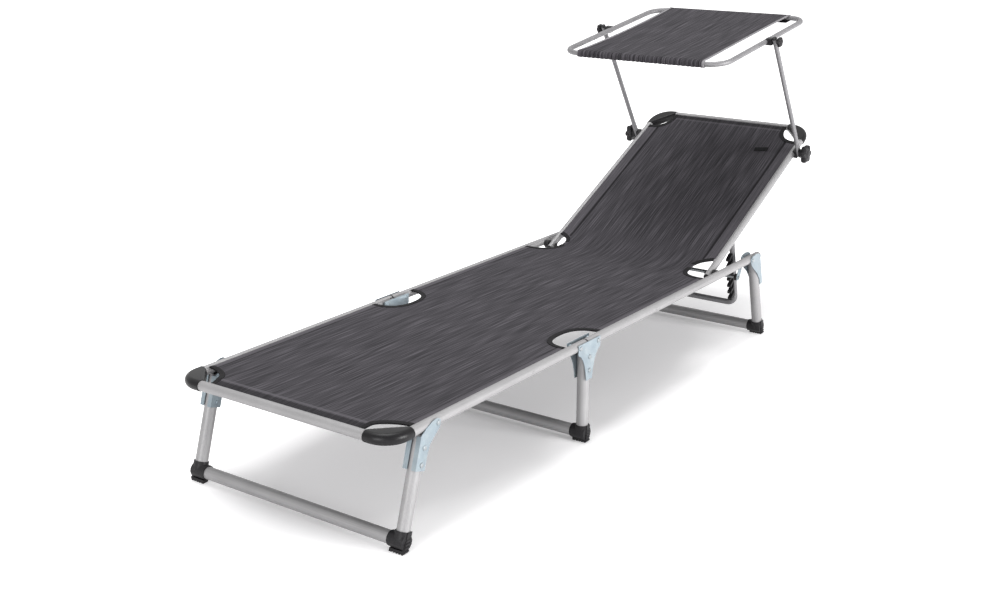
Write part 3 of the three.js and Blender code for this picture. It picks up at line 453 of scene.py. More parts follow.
rails = {
    "splitFoot": 685.2, "ring": 687.2, "splitSeat": 689.5, "end": 1594,
    "bend": 45, "steps": 12, "groove": 1.9,
}
half, bend = places["railHalf"], rails["bend"]
bm = bmesh.new()
sweepTube(
    bm, places["railRadius"], (-half, rails["splitFoot"], 0), -90,
    [
        ("run", rails["splitFoot"] - bend), ("bend", bend, 90, rails["steps"]),
        ("run", 2 * (half - bend)), ("bend", bend, 90, rails["steps"]),
        ("run", rails["splitFoot"] - bend),
    ],
    groove=rails["groove"],
)
fitPiece("footRailTube", bm, railFrame, "tubeY", "foot_frame", ["foot_rail_frame"])

bm = bmesh.new()
sweepTube(
    bm, places["railRadius"], (half, rails["splitSeat"], 0), 90,
    [("run", rails["end"] - rails["splitSeat"])], groove=rails["groove"],
)
bothSides("seatRailTube", bm, railFrame, "tubeY", "seat_frame", "rail")

plug = turned(bmesh.new(), domed(places["railRadius"], 1.2, 2.2), facingHead(half, rails["end"] + 0.3))
bothSides("railEndPlug", plug, railFrame, "tubeY", "seat_frame", "rail_plug")
ringProfile = [(8.2, -12), (10.4, -12), (10.4, -2.4), (11.6, -2.2), (11.9, -1.2), (11.6, -0.2), (8.2, 0)]
ring = turned(bmesh.new(), ringProfile + ringProfile[:1], facingHead(half, rails["ring"]))
bothSides("splitRing", ring, railFrame, "plastic", "foot_frame", "split_ring")
print("rails made")


# Black sleeves on the bends of the rails and of the backrest

sleeve = {"wall": 1.75, "round": 0.0025, "steps": 14, "footReach": 60, "backReach": 62}


def cornerSleeve(name, halfWidth, end, reach, tubeRadius, bendRadius, place, body, node):
    bm = bmesh.new()
    straight = reach - bendRadius
    steps = [("run", straight), ("bend", bendRadius, 90, sleeve["steps"]), ("run", straight)]
    start, heading = ((halfWidth, end - reach, 0), 90) if end > 0 else ((halfWidth - reach, end, 0), 0)
    sweepTube(bm, tubeRadius + sleeve["wall"], start, heading, steps)
    made = bmesh.ops.convex_hull(bm, input=bm.verts)
    bmesh.ops.delete(bm, geom=list(set(made["geom_interior"] + made["geom_unused"])), context="VERTS")
    bmesh.ops.dissolve_limit(bm, angle_limit=math.radians(0.5), verts=bm.verts, edges=bm.edges)
    for piece in bothSides(name, bm, place, "sleeve", body, node, 50):
        addModifier(
            piece, "BEVEL", width=sleeve["round"], segments=3, limit_method="ANGLE",
            angle_limit=math.radians(50),
        )


cornerSleeve(
    "footCornerSleeve", half, 0, sleeve["footReach"], places["railRadius"], bend,
    railFrame, "foot_frame", "corner_sleeve",
)
cornerSleeve(
    "backCornerSleeve", places["backHalf"], places["backLength"], sleeve["backReach"],
    places["backRadius"], places["backBend"], backFrame, "backrest", "back_sleeve",
)
print("sleeves made")


# Legs and crossbars: plain round tube, the legs cut flat under the rails

legs = {
    "front": {"body": "front_leg", "foot": places["frontFoot"], "top": places["frontLeg"]},
    "mid": {"body": "mid_leg", "foot": places["midLeg"], "top": places["midLeg"]},
    "rear": {"body": "rear_leg", "foot": places["rearFoot"], "top": places["rearLeg"]},
}
legUncut, crossbarGap = 250, 2
for prefix, leg in legs.items():
    lean = math.atan2(leg["top"] - leg["foot"], railHeight - places["crossbarHeight"])
    base = shift(0, leg["foot"], places["crossbarHeight"])
    radius = places["legRadius"]
    bm = bmesh.new()
    bmesh.ops.create_cone(bm, cap_ends=True, segments=40, radius1=radius, radius2=radius, depth=legUncut)
    bmesh.ops.translate(bm, vec=(0, 0, legUncut / 2), verts=bm.verts)
    bmesh.ops.rotate(bm, cent=(0, 0, 0), matrix=Matrix.Rotation(-lean, 3, "X"), verts=bm.verts)
    bmesh.ops.bisect_plane(
        bm, geom=bm.verts[:] + bm.edges[:] + bm.faces[:],
        plane_co=(0, 0, places["legTop"] - places["crossbarHeight"]), plane_no=(0, 0, 1), clear_outer=True,
    )
    bmesh.ops.holes_fill(bm, edges=[e for e in bm.edges if e.is_boundary], sides=0)
    bmesh.ops.translate(bm, vec=(places["legHalf"], 0, 0), verts=bm.verts)
    bothSides(prefix + "LegTube", bm, base, "tubeZ", leg["body"], prefix + "_leg")
    reach = places["legHalf"] - radius - crossbarGap
    crossbar = turned(bmesh.new(), rod(radius, -reach, reach))
    fitPiece(prefix + "CrossbarTube", crossbar, base, "tubeX", leg["body"], [prefix + "_crossbar"])
    refinedPair(prefix + "_foot", "plastic", leg["body"], prefix + "FootElbow", bevel=0.7)
print("legs made")


# Brackets, with domed rivet heads over the plain ones

refinedPair("front_bracket", "zinc", "front_leg", "frontBracketPlates", bevel=0.35, sharp=50)
refinedPair("rear_bracket", "zinc", "rear_leg", "rearBracketPlates", bevel=0.35, sharp=50)
refinedPair("fold_gusset", "zinc", "mid_leg", "foldGussetPlates", bevel=0.35, sharp=50)

rivets = {
    "radius": 5.7, "flat": 0.9, "crown": 1.6, "face": 298.3,
    "aside": 32, "frontDrops": (40, 74), "gussetHeights": (211, 178),
}


def rivetHeads(name, spots, body):
    bm = bmesh.new()
    for y, z in spots:
        head = domed(rivets["radius"], rivets["flat"], rivets["crown"])
        turned(bm, head, shift(rivets["face"], y, z), 20)
    bothSides(name, bm, Matrix.Identity(4), "steel", body)


frontLean = math.atan2(places["frontLeg"] - places["frontFoot"], railHeight - places["crossbarHeight"])
frontSpots = [(places["frontLeg"] + rivets["aside"], railHeight)] + [
    (places["frontLeg"] - drop * math.sin(frontLean), railHeight - drop * math.cos(frontLean))
    for drop in rivets["frontDrops"]
]
gussetSpots = [(places["foldFoot"], railHeight), (places["foldSeat"], railHeight)]
gussetSpots += [(places["midLeg"], height) for height in rivets["gussetHeights"]]
rivetHeads("frontBracketRivets", frontSpots, "front_leg")
rivetHeads("rearBracketRivets", [(places["rearLeg"] - rivets["aside"], railHeight)], "rear_leg")
rivetHeads("foldGussetRivets", gussetSpots, "mid_leg")
print("brackets made")


# Backrest tube, prop and the bar behind it

backTube = {"tail": 16, "groove": 1.7, "steps": 14}
bm = bmesh.new()
backHalf, backBend = places["backHalf"], places["backBend"]
sideRun = ("run", places["backLength"] - backBend + backTube["tail"])
headBend = ("bend", backBend, 90, backTube["steps"])
sweepTube(
    bm, places["backRadius"], (backHalf, -backTube["tail"], 0), 90,
    [sideRun, headBend, ("run", 2 * (backHalf - backBend)), headBend, sideRun], groove=backTube["groove"],
)
fitPiece("backrestTube", bm, backFrame, "tubeY", "backrest", ["backrest_frame"])
bushProfile = domed(places["backRadius"] + 0.2, 1.4, 2.4)
bush = turned(bmesh.new(), bushProfile, facingHead(backHalf, -backTube["tail"] - 0.3, -1))
bothSides("backTubeBush", bush, backFrame, "plastic", "backrest", "back_hinge_bush")
refinedPair("hinge_block", "plastic", "seat_frame", "hingeBlock", bevel=0.6, sharp=50)
refinedPair("arm_clamp_block", "plastic", "backrest", "armClampSaddle", bevel=1.2, segments=3)

prop = {
    "half": 231, "radius": 8, "start": -4, "length": 222, "bend": 24,
    "pinRadius": 3, "pinStart": 236, "pinEnd": 251, "washerRadius": 5.5, "washerThick": 2, "face": 239.1,
}
run = prop["length"] - prop["bend"] - prop["start"]
propBend = ("bend", prop["bend"], 90, 10)
bm = bmesh.new()
sweepTube(
    bm, prop["radius"], (prop["half"], prop["start"], 0), 90,
    [("run", run), propBend, ("run", 2 * (prop["half"] - prop["bend"])), propBend, ("run", run)], sides=32,
)
for side in (1, -1):
    pin = sorted((side * prop["pinStart"], side * prop["pinEnd"]))
    washer = sorted((side * prop["face"], side * (prop["face"] + prop["washerThick"])))
    turned(bm, rod(prop["pinRadius"], *pin), sides=16)
    turned(bm, rod(prop["washerRadius"], *washer), sides=20)
# the prop bow takes the darker grey tone as painted shade
fitPiece("propBowTube", bm, propFrame, "greyAndShadeZ", "prop", ["prop_bow"])
refinedPair("ratchet", "plastic", "prop", "propRatchet", bevel=0.9, segments=3)

restBar = {"radius": 5, "reach": 268.2, "tenonRadius": 3.5, "tip": 270.5}
halfBar = [(restBar["radius"], restBar["reach"]), (restBar["tenonRadius"], restBar["reach"])]
halfBar += [(restBar["tenonRadius"], restBar["tip"]), (0, restBar["tip"])]
bar = turned(bmesh.new(), [(r, -x) for r, x in reversed(halfBar)] + halfBar)
barFrame = shift(0, places["restBar"], places["restBarHeight"])
fitPiece("propRestBar", bar, barFrame, "steel", "rear_leg", ["prop_rest_bar"])
refinedPair("bar_bush", "plastic", "rear_leg", "barBush", bevel=0.8)
print("backrest made")


# Canopy arms: round tube with its foot pressed flat round the knob's bolt

arm = {
    "radius": 6.5, "flat": 2.5, "wide": 9.5, "tail": 10, "paddle": 16, "taper": 30, "top": 411, "steps": 7,
    "sides": 32, "capRadius": 6.9, "capRise": 2.6,
}
# each as (place along, how round it is, how much of its width is left)
armSections = [(-arm["tail"], 0, 0.46), (-8.6, 0, 0.74), (-6, 0, 0.9), (-2.5, 0, 1), (arm["paddle"], 0, 1)]
for i in range(1, arm["steps"] + 1):
    share = (1 - math.cos(math.pi * i / arm["steps"])) / 2
    armSections.append((arm["paddle"] + arm["taper"] * i / arm["steps"], share, 1))
armSections.append((arm["top"], 1, 1))


def armPoint(i, j):
    along, share, narrow = armSections[j]
    turn = math.tau * i / arm["sides"]
    thick = arm["flat"] + (arm["radius"] - arm["flat"]) * share
    wide = (arm["wide"] + (arm["radius"] - arm["wide"]) * share) * narrow
    pressed = max(-thick, min(thick, arm["radius"] * math.cos(turn)))
    return Vector((places["armHalf"] + pressed, along, wide * math.sin(turn)))


armBody = shapedGrid(arm["sides"], len(armSections) - 1, armPoint, closed=True)
# the arms take the darker grey tone, partly their own darker grey and partly painted shade
bothSides("canopyArmTube", armBody, armFrame, "greyAndShadeZ", "canopy_arms", "canopy_arm")
capProfile = domed(arm["capRadius"], arm["capRise"], arm["capRise"])
cap = turned(bmesh.new(), capProfile, facingHead(places["armHalf"], arm["top"]), arm["sides"])
bothSides("armTopCap", cap, armFrame, "plastic", "canopy_arms", "arm_cap")

knobs = {
    "lower": {"start": 272.8, "neck": 9, "thick": 18, "radius": 27, "lobes": 6, "depth": 7.5, "bolt": 248},
    "upper": {"start": 276.8, "neck": 2, "thick": 10, "radius": 14, "lobes": 6, "depth": 2.5, "bolt": 242},
}


# A star grip with rounded lobes on a round neck, and its bolt
def starKnob(knob):
    radius, thick, lobes = knob["radius"], knob["thick"], knob["lobes"]
    grip = knob["start"] + knob["neck"]
    soft = thick * 0.26
    sections = [
        (0, 0), (0, 0.74), (soft * 0.3, 0.91), (soft, 1), (thick - soft, 1), (thick - soft * 0.3, 0.9),
        (thick, 0.72), (thick, 0),
    ]

    def pointAt(i, j):
        place, share = sections[j]
        turn = math.tau * i / (lobes * 12)
        reach = share * (radius - knob["depth"] * (0.5 - 0.5 * math.cos(lobes * turn)) ** 1.3)
        return Vector((grip + place, reach * math.cos(turn), reach * math.sin(turn)))

    bm = shapedGrid(lobes * 12, len(sections) - 1, pointAt, closed=True)
    hub = radius * 0.46
    front = grip + thick
    neck = [(0, knob["start"]), (hub, knob["start"]), (hub * 1.1, grip + 2), (0, grip + 2)]
    turned(bm, neck, sides=32)
    button = [(0, front - 1), (hub, front - 1), (hub, front + 0.6), (hub * 0.8, front + 1.4)]
    turned(bm, button + [(0, front + 1.6)], sides=32)
    turned(bm, rod(3, knob["bolt"], grip), sides=16)
    return bm


bothSides(
    "lowerStarKnob", starKnob(knobs["lower"]), armFrame, "plastic",
    ("lower_knob_right_body", "lower_knob_left_body"), "lower_knob", 50,
)
bothSides(
    "upperStarKnob", starKnob(knobs["upper"]), canopyFrame, "plastic",
    ("upper_knob_right_body", "upper_knob_left_body"), "upper_knob", 50,
)
refinedPair("canopy_block", "plastic", "canopy", "canopyClampBlock", bevel=1.6, segments=3)

bm = bmesh.new()
canopyHalf, canopyLong, canopyBend = places["canopyHalf"], places["canopyLong"], places["canopyBend"]
hoopBend = ("bend", canopyBend, 90, 14)
hoopSide, hoopFront = ("run", 2 * (canopyLong - canopyBend)), ("run", canopyHalf - canopyBend)
sweepTube(
    bm, places["canopyRadius"], (0, -canopyLong, 0), 0,
    2 * [hoopFront, hoopBend, hoopSide, hoopBend, hoopFront], sides=32, closed=True,
)
# the hoop takes the darker grey tone, partly its own darker grey and partly painted shade
fitPiece("canopyHoopTube", bm, canopyFrame, "greyAndShadeY", "canopy", ["canopy_frame"])
print("canopy frame made")


# Cloth panels

slingEdge, backEdge = 275.7, 242.9
cornerInner, foldInner, pivotInner, headInner = slingEdge - 68, slingEdge - 61, slingEdge - 69, backEdge - 58
panel = {
    "inner": 30, "hemRise": 0.7, "stitchDip": 0.5, "ridge": 27, "ridgeWide": 7, "headShare": 0.7,
    "thickness": 0.0013, "sag": 4, "sagFoot": 160, "sagHead": 120, "seatTuck": 2.0, "backTuck": 1.6,
    "pucker": 20, "puckerRise": 1.2, "puckerRipple": 0.9, "roll": 2.6,
    # For the seat and the back: where the paler hem ends, where the painted seam shadow lies and how far it
    # reaches, and how much of the hem's painted highlight is used; the back gets half of it and a wider
    # shadow
    "seat": {"hemAndHighlight": 12.4, "seamShadow": 13.6, "open": 14.8, "reach": 1.6, "pale": 1},
    "back": {"hemAndHighlight": 25, "seamShadow": 30, "open": 35, "reach": 5, "pale": 0.5},
}
# distances from the edge where the cloth has a column at its sides, and a row at its foot and head ends
hemLines = [0, 2.5, 12.4, 13.6, 14.8, 16.4, 19, 22, 25, 27.5, 30, 32.5, 35, 38]
ridgeLines = [3, 8, 14, 19, 21, 23, 25, 27, 29, 31, 34, 40]


# Cloth over rows of (place along, half width); surface gives a point, its share of paler hem with painted
# highlight and its share of painted seam shadow
def clothSheet(name, columns, rows, surface, place, thickness):
    bm = bmesh.new()
    bmesh.ops.create_grid(bm, x_segments=len(columns) - 1, y_segments=len(rows) - 1, size=1)
    uvLayer = bm.loops.layers.uv.new("clothMap")
    hemAndHighlightLayer = bm.verts.layers.float.new("hemAndHighlight")
    seamShadowLayer = bm.verts.layers.float.new("seamShadow")
    flat = {}
    for vertex in bm.verts:
        column = columns[round((vertex.co.x + 1) / 2 * (len(columns) - 1))]
        along, halfWidth = rows[round((vertex.co.y + 1) / 2 * (len(rows) - 1))]
        x = column(halfWidth)
        vertex.co, vertex[hemAndHighlightLayer], vertex[seamShadowLayer] = surface(x, along, halfWidth)
        flat[vertex] = (x / 1000, along / 1000)
    for face in bm.faces:
        for loop in face.loops:
            loop[uvLayer].uv = flat[loop.vert]
    bm.edges.index_update()
    rim = [edge.index for edge in bm.edges if edge.is_boundary]
    piece = makeObject(name, bm, place, "cloth", 60)
    for index in rim:
        piece.data.edges[index].use_edge_sharp = True
    addModifier(piece, "SOLIDIFY", thickness=thickness, offset=0)
    return piece


def columnAt(share, inset=0):
    return lambda halfWidth: share * (halfWidth - inset)


slingColumns = [columnAt(-1, inset) for inset in hemLines]
slingColumns += [columnAt(2 * i / panel["inner"] - 1, hemLines[-1]) for i in range(1, panel["inner"])]
slingColumns += [columnAt(1, inset) for inset in reversed(hemLines)]


def quadratic(p0, p1, p2, t):
    return tuple((1 - t) ** 2 * a + 2 * t * (1 - t) * b + t * t * c for a, b, c in zip(p0, p1, p2))


cuts = {  # each cut-out's edge as (half width, place) of its start, its middle handle and its end
    "corner": [(cornerInner, 9.3), (cornerInner, 64), (slingEdge, 73.3)],
    "foldFoot": [(slingEdge, 618), (foldInner, 618), (foldInner, 687.6)],
    "foldSeat": [(foldInner, 687.6), (foldInner, 758), (slingEdge, 758)],
    "pivotSeat": [(slingEdge, 1282), (pivotInner, 1282), (pivotInner, 1350)],
    "pivotBack": [(pivotInner, 4), (pivotInner + 3, 26), (backEdge, 40)],
    "head": [(backEdge, 601.9), (headInner, 601.9), (headInner, 667.9)],
}
corner = {"meet": 1380.6, "soft": 68, "lift": 247.3, "back": 12.7}
cutSteps = 12
rowStep = {"seat": 26, "pivot": 6, "back": 22}


def cutStart(name, offset=0):
    return cuts[name][0][1] + offset


def cutEnd(name, offset=0):
    return cuts[name][-1][1] + offset


def cutRows(name, offset=0):
    rows = [quadratic(*cuts[name], i / cutSteps) for i in range(cutSteps + 1)]
    return [(place + offset, halfWidth) for halfWidth, place in rows]


def evenRows(a, b, step, halfWidth):
    count = max(1, round((b - a) / step))
    return [(a + (b - a) * i / count, halfWidth) for i in range(1, count)]


def joined(*lists):
    rows = []
    for row in (r for group in lists for r in group):
        if not rows or row[0] > rows[-1][0] + 0.05:
            rows.append(row)
    return rows


backOffset = corner["meet"] - corner["back"]


# Place and upward normal of the stretched cloth, from the flat seat up the backrest
def profileAt(along):
    angle = math.radians(places["backAngle"])
    meet, soft, lift = corner["meet"], corner["soft"], corner["lift"]
    if along <= meet - soft:
        return Vector((0, along, lift)), Vector((0, 0, 1))
    if along >= meet + soft:
        slope = Vector((0, math.cos(angle), math.sin(angle)))
        return Vector((0, meet, lift)) + slope * (along - meet), Vector((0, -slope.z, slope.y))
    radius = soft / math.tan(angle / 2)
    turn = angle * (along - meet + soft) / (2 * soft)
    centre = Vector((0, meet - soft, lift + radius))
    normal = Vector((0, -math.sin(turn), math.cos(turn)))
    return centre - normal * radius, normal


random.seed(11)
pleats = [(random.uniform(0, math.tau), random.uniform(10, 24), random.uniform(0.4, 1)) for _ in range(7)]


def ripple(x):
    return sum(size * math.sin(math.tau * x / pitch + phase) for phase, pitch, size in pleats) / len(pleats)


clothEnds = (8.6, backOffset + 668)


# How much paler hem, partly painted highlight, and how much painted seam shadow lies at a distance from the
# edge
def hemHighlightAndSeamShadow(inset, lines):
    hemAndHighlight = min(1, max(0, (lines["open"] - inset) / (lines["open"] - lines["hemAndHighlight"])))
    seamShadow = 1.5 * (1 - abs(inset - lines["seamShadow"]) / lines["reach"])
    return hemAndHighlight * lines["pale"], min(1, max(0, seamShadow))


# The cloth lies a little hollow between the rails, has doubled hems and dips into the tubes' grooves; its
# hems carry a paler tone that is partly painted highlight, and its seams carry painted shadow
def slingPoint(x, along, halfWidth):
    point, normal = profileAt(along)
    point.x = x
    onSeat = along < corner["meet"] - 20
    full = slingEdge if onSeat else backEdge
    uncut = max(0, 1 - (full - halfWidth) / 5)
    lines = panel["seat" if onSeat else "back"]
    hemAndHighlight, seamShadow = (share * uncut for share in hemHighlightAndSeamShadow(halfWidth - abs(x), lines))
    fromFoot, fromHead = along - clothEnds[0], clothEnds[1] - along
    sides = hemAndHighlight
    # At the foot and head ends the stitched ridge gets painted highlight, and the band where the cloth rolls
    # down into the groove gets painted shadow
    for inset, wide in ((fromFoot, 1), (fromHead, panel["headShare"])):
        ridge = max(0, 1 - abs(inset / wide - panel["ridge"]) / panel["ridgeWide"])
        band = min(1, max(0, (panel["ridge"] - 4 - inset / wide) / 4))
        hemAndHighlight, seamShadow = max(hemAndHighlight * (1 - band), ridge * wide), max(seamShadow, 0.55 * band)
    rise = panel["hemRise"] * sides - panel["stitchDip"] * seamShadow
    if halfWidth - abs(x) < 0.1 and uncut > 0.7:
        point.x += math.copysign(panel["seatTuck" if onSeat else "backTuck"], x)
        rise = 0
    middle = 1 - (x / full) ** 2
    edges = min(1, max(0, (along - 10) / panel["sagFoot"])) * min(1, max(0, fromHead / panel["sagHead"]))
    depth = panel["sag"] * middle * edges
    pucker = max(0, 1 - abs(fromFoot - panel["ridge"]) / panel["pucker"])
    rise += pucker * (panel["puckerRise"] + panel["puckerRipple"] * ripple(x))
    rise -= panel["roll"] * max(0, 1 - fromFoot / panel["ridge"])
    return point + normal * (rise - depth), hemAndHighlight, seamShadow


# Adds rows at the hem's lines; their half widths follow the rows beside them
def withRows(rows, stops):
    grown = list(rows)
    for stop in stops:
        below = max((row for row in rows if row[0] <= stop), default=rows[0])
        above = min((row for row in rows if row[0] > stop), default=rows[-1])
        share = (stop - below[0]) / max(above[0] - below[0], 0.001)
        grown.append((stop, below[1] + (above[1] - below[1]) * min(1, max(0, share))))
    return joined(sorted(grown))


footRows = joined(
    [(clothEnds[0], cornerInner)], cutRows("corner"),
    evenRows(cutEnd("corner"), cutStart("foldFoot"), rowStep["seat"], slingEdge), cutRows("foldFoot"),
)
footRows = withRows(footRows, [clothEnds[0] + inset for inset in ridgeLines])
seatSplit = places["seatSplit"]
seatRows = joined(
    cutRows("foldSeat"), evenRows(cutEnd("foldSeat"), seatSplit, rowStep["seat"], slingEdge),
    [(seatSplit, slingEdge)],
)
backRows = joined(
    [(seatSplit, slingEdge)], evenRows(seatSplit, cutStart("pivotSeat"), rowStep["seat"], slingEdge),
    cutRows("pivotSeat"),
    evenRows(cutEnd("pivotSeat"), cutStart("pivotBack", backOffset), rowStep["pivot"], pivotInner),
    cutRows("pivotBack", backOffset),
    evenRows(cutEnd("pivotBack", backOffset), cutStart("head", backOffset), rowStep["back"], backEdge),
    cutRows("head", backOffset), [(clothEnds[1], headInner)],
)
backRows = withRows(backRows, [clothEnds[1] - inset * panel["headShare"] for inset in ridgeLines])


def rowPoint(y, z):
    return (0, (y - rowShift) / 1000, z / 1000)


spans = {  # each panel with two bodies and the two points that would bound its bend from one to the other; nothing here bends the cloth
    "footSlingCloth": ("foot_frame", "mid_leg", rowPoint(612, 247), rowPoint(688, 247)),
    "seatSlingCloth": ("mid_leg", "seat_frame", rowPoint(688, 247), rowPoint(764, 247)),
    "backSlingCloth": ("seat_frame", "backrest", rowPoint(1312, 247), rowPoint(1442, 277)),
}
clothSettings = (slingPoint, Matrix.Identity(4), panel["thickness"])
footCloth = clothSheet("footSlingCloth", slingColumns, footRows, *clothSettings)
seatCloth = clothSheet("seatSlingCloth", slingColumns, seatRows, *clothSettings)
backCloth = clothSheet("backSlingCloth", slingColumns, backRows, *clothSettings)
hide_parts("foot_sling")
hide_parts("seat_sling")
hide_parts("back_sling")
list(spans["footSlingCloth"])
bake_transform(footCloth)
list(spans["seatSlingCloth"])
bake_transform(seatCloth)
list(spans["backSlingCloth"])
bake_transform(backCloth)
print("sling made")


# Bindings: black tape folded over the edge of each cut-out

tape = {"width": 11, "thick": 4.2, "steps": 28}


def binding(cut, offset, panelName):
    for side, word in ((1, "Right"), (-1, "Left")):
        points = []
        for i in range(tape["steps"] + 1):
            halfWidth, along = quadratic(*cuts[cut], i / tape["steps"])
            points.append(slingPoint(side * halfWidth, along + offset, halfWidth)[0])
        stations = []
        for i, point in enumerate(points):
            ahead = (points[min(i + 1, tape["steps"])] - points[max(i - 1, 0)]).normalized()
            upward = profileAt(quadratic(*cuts[cut], i / tape["steps"])[1] + offset)[1]
            inward = upward.cross(ahead) * side
            stations.append((point, inward, upward))
        name = cut + "Binding" + word
        piece = edgeTape(name, stations, tape["width"], tape["thick"], "tape", Matrix.Identity(4))
        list(spans[panelName])
        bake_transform(piece)


for cut, panelName in (
    ("corner", "footSlingCloth"), ("foldFoot", "footSlingCloth"), ("foldSeat", "seatSlingCloth"),
    ("pivotSeat", "backSlingCloth"), ("pivotBack", "backSlingCloth"), ("head", "backSlingCloth"),
):
    binding(cut, backOffset if cut in ("pivotBack", "head") else 0, panelName)
print("bindings made")


# The bare woven tag near the top of the backrest

tag = {"x": 157, "along": 549, "width": 40, "height": 17, "turn": 12, "thickness": 1.2, "rise": 0.9}
bm = bmesh.new()
bmesh.ops.create_grid(bm, x_segments=12, y_segments=5, size=0.5)
bmesh.ops.scale(bm, vec=(tag["width"], tag["height"], 1), verts=bm.verts)
tagTurn = Matrix.Rotation(math.radians(tag["turn"]), 3, "Z")
bmesh.ops.rotate(bm, cent=(0, 0, 0), matrix=tagTurn, verts=bm.verts)
spot, upward = profileAt(backOffset + tag["along"])
tagFrame = Matrix.Translation(spot + upward * tag["rise"]) @ turnX(places["backAngle"])
tagPiece = makeObject("wovenTagPatch", bm, tagFrame @ shift(tag["x"], 0, -tag["thickness"]), "tag", 60)
addModifier(tagPiece, "SOLIDIFY", thickness=tag["thickness"] / 1000, offset=1)
addModifier(tagPiece, "BEVEL", width=0.0003, segments=2)
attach(tagPiece, "backrest")
print("tag made")


# Canopy cover: one sheet over the hoop, gathered round the front bar, with painted shade in the valleys of
# the gathers

cover = {
    "wrap": 8.3, "frontHalf": 193, "middleHalf": 187, "backHalf": 194, "sag": 5, "tuck": 24,
    "gather": 1.5, "gathers": 28, "fade": 42, "columns": 280, "thickness": 0.0011,
    "selvedgeWidth": 6, "selvedgeThick": 2.6,
}
wrap = cover["wrap"]
quarter = wrap * math.pi / 2


# From the tuck under the front bar, round it, over the top and round the back bar
def coverProfile(along):
    long, tuck = canopyLong, cover["tuck"]
    if along < tuck:
        return Vector((0, -long + tuck - along, -wrap)), Vector((0, 0, -1))
    along -= tuck
    if along < 2 * quarter:
        turn = math.pi * along / (2 * quarter)
        normal = Vector((0, -math.sin(turn), -math.cos(turn)))
        return Vector((0, -long, 0)) + normal * wrap, normal
    along -= 2 * quarter
    if along < 2 * long:
        return Vector((0, -long + along, wrap)), Vector((0, 0, 1))
    along -= 2 * long
    if along < 2 * quarter:
        turn = math.pi * along / (2 * quarter)
        normal = Vector((0, math.sin(turn), math.cos(turn)))
        return Vector((0, long, 0)) + normal * wrap, normal
    along -= 2 * quarter
    return Vector((0, long - along, -wrap)), Vector((0, 0, -1))


def coverPoint(x, along, halfWidth):
    point, normal = coverProfile(along)
    point.x = x
    run = along - cover["tuck"] - 2 * quarter
    lift = 0
    if 0 < run < 2 * canopyLong:
        share = run / (2 * canopyLong)
        lift -= cover["sag"] * math.sin(math.pi * share) ** 0.7 * (1 - 0.45 * (x / halfWidth) ** 2)
    fade = max(0, 1 - max(0, run) / cover["fade"]) ** 1.4
    place = x / halfWidth * cover["gathers"] / 2 + 0.22 * ripple(x)
    lift += cover["gather"] * fade * abs(math.sin(math.pi * place)) ** 0.6
    # painted shade in the valleys of the gathers, fading up the cover
    seamShadow = 0.75 * fade * max(0, 1 - abs(math.sin(math.pi * place)) * 2.2)
    return point + normal * lift, 0, seamShadow


def coverHalf(along):
    share = min(1, max(0, (along - cover["tuck"] - 2 * quarter) / (2 * canopyLong)))
    handle = 2 * cover["middleHalf"] - (cover["frontHalf"] + cover["backHalf"]) / 2
    ends = (1 - share) ** 2 * cover["frontHalf"] + share ** 2 * cover["backHalf"]
    return ends + 2 * share * (1 - share) * handle


# rows closer together round the bars and where the gathers fade
coverStops = [0, 8, 16, cover["tuck"]]
coverStops += [cover["tuck"] + 2 * quarter * i / 12 for i in range(1, 13)]
start = coverStops[-1]
coverStops += [start + d for d in (4, 8, 13, 19, 26, 34, 44, 56)]
coverStops += [start + 56 + (2 * canopyLong - 56) * i / 22 for i in range(1, 23)]
start = coverStops[-1]
coverStops += [start + 2 * quarter * i / 12 for i in range(1, 13)]
coverStops += [start + 2 * quarter + d for d in (8, 16, cover["tuck"])]
coverRows = [(s, coverHalf(s)) for s in coverStops]
coverColumns = [columnAt(2 * i / cover["columns"] - 1) for i in range(cover["columns"] + 1)]
coverCloth = clothSheet(
    "canopyCoverCloth", coverColumns, coverRows, coverPoint, canopyFrame, cover["thickness"]
)
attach(coverCloth, "canopy")
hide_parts("canopy_cover")
for side, word in ((1, "Right"), (-1, "Left")):
    stations = []
    for along in coverStops[3:-3]:
        point = coverPoint(side * coverHalf(along), along, coverHalf(along))[0]
        stations.append((point, Vector((-side, 0, 0)), coverProfile(along)[1]))
    selvedge = edgeTape(
        "coverSelvedge" + word, stations, cover["selvedgeWidth"], cover["selvedgeThick"], "selvedge",
        canopyFrame,
    )
    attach(selvedge, "canopy")
print("canopy cover made")


# Small rivets in the rails' outer sides

railRivet = {"radius": 3.6, "flat": 0.5, "crown": 0.9, "face": 295.8}
for name, y, body in (("footRailRivet", 464, "foot_frame"), ("seatRailRivet", 1005, "seat_frame")):
    profile = domed(railRivet["radius"], railRivet["flat"], railRivet["crown"])
    head = turned(bmesh.new(), profile, shift(railRivet["face"], y, railHeight), 20)
    bothSides(name, head, Matrix.Identity(4), "tubeX", body)
print("rail rivets made")


# The flat area of each sheet of cloth, worked out and not kept

def panelArea(rows):
    return sum((b[0] - a[0]) * (a[1] + b[1]) for a, b in zip(rows, rows[1:])) / 1e6


for piece, rows, rests in (
    (footCloth, footRows, ["footRailTube"]),
    (seatCloth, seatRows, ["seatRailTubeRight", "seatRailTubeLeft"]),
    (backCloth, backRows, ["backrestTube", "seatRailTubeRight", "seatRailTubeLeft"]),
):
    panelArea(rows)
panelArea(coverRows)


# Floor, light and camera

backdrop = {
    "colour": "#f4f3f4", "size": 60, "shift": (0, 0.15, 0), "squeeze": (2.6, 0.82, 1),
    "near": 0.14, "far": 1, "from": 0.66, "to": 1.7, "skyLight": 0.47,
}


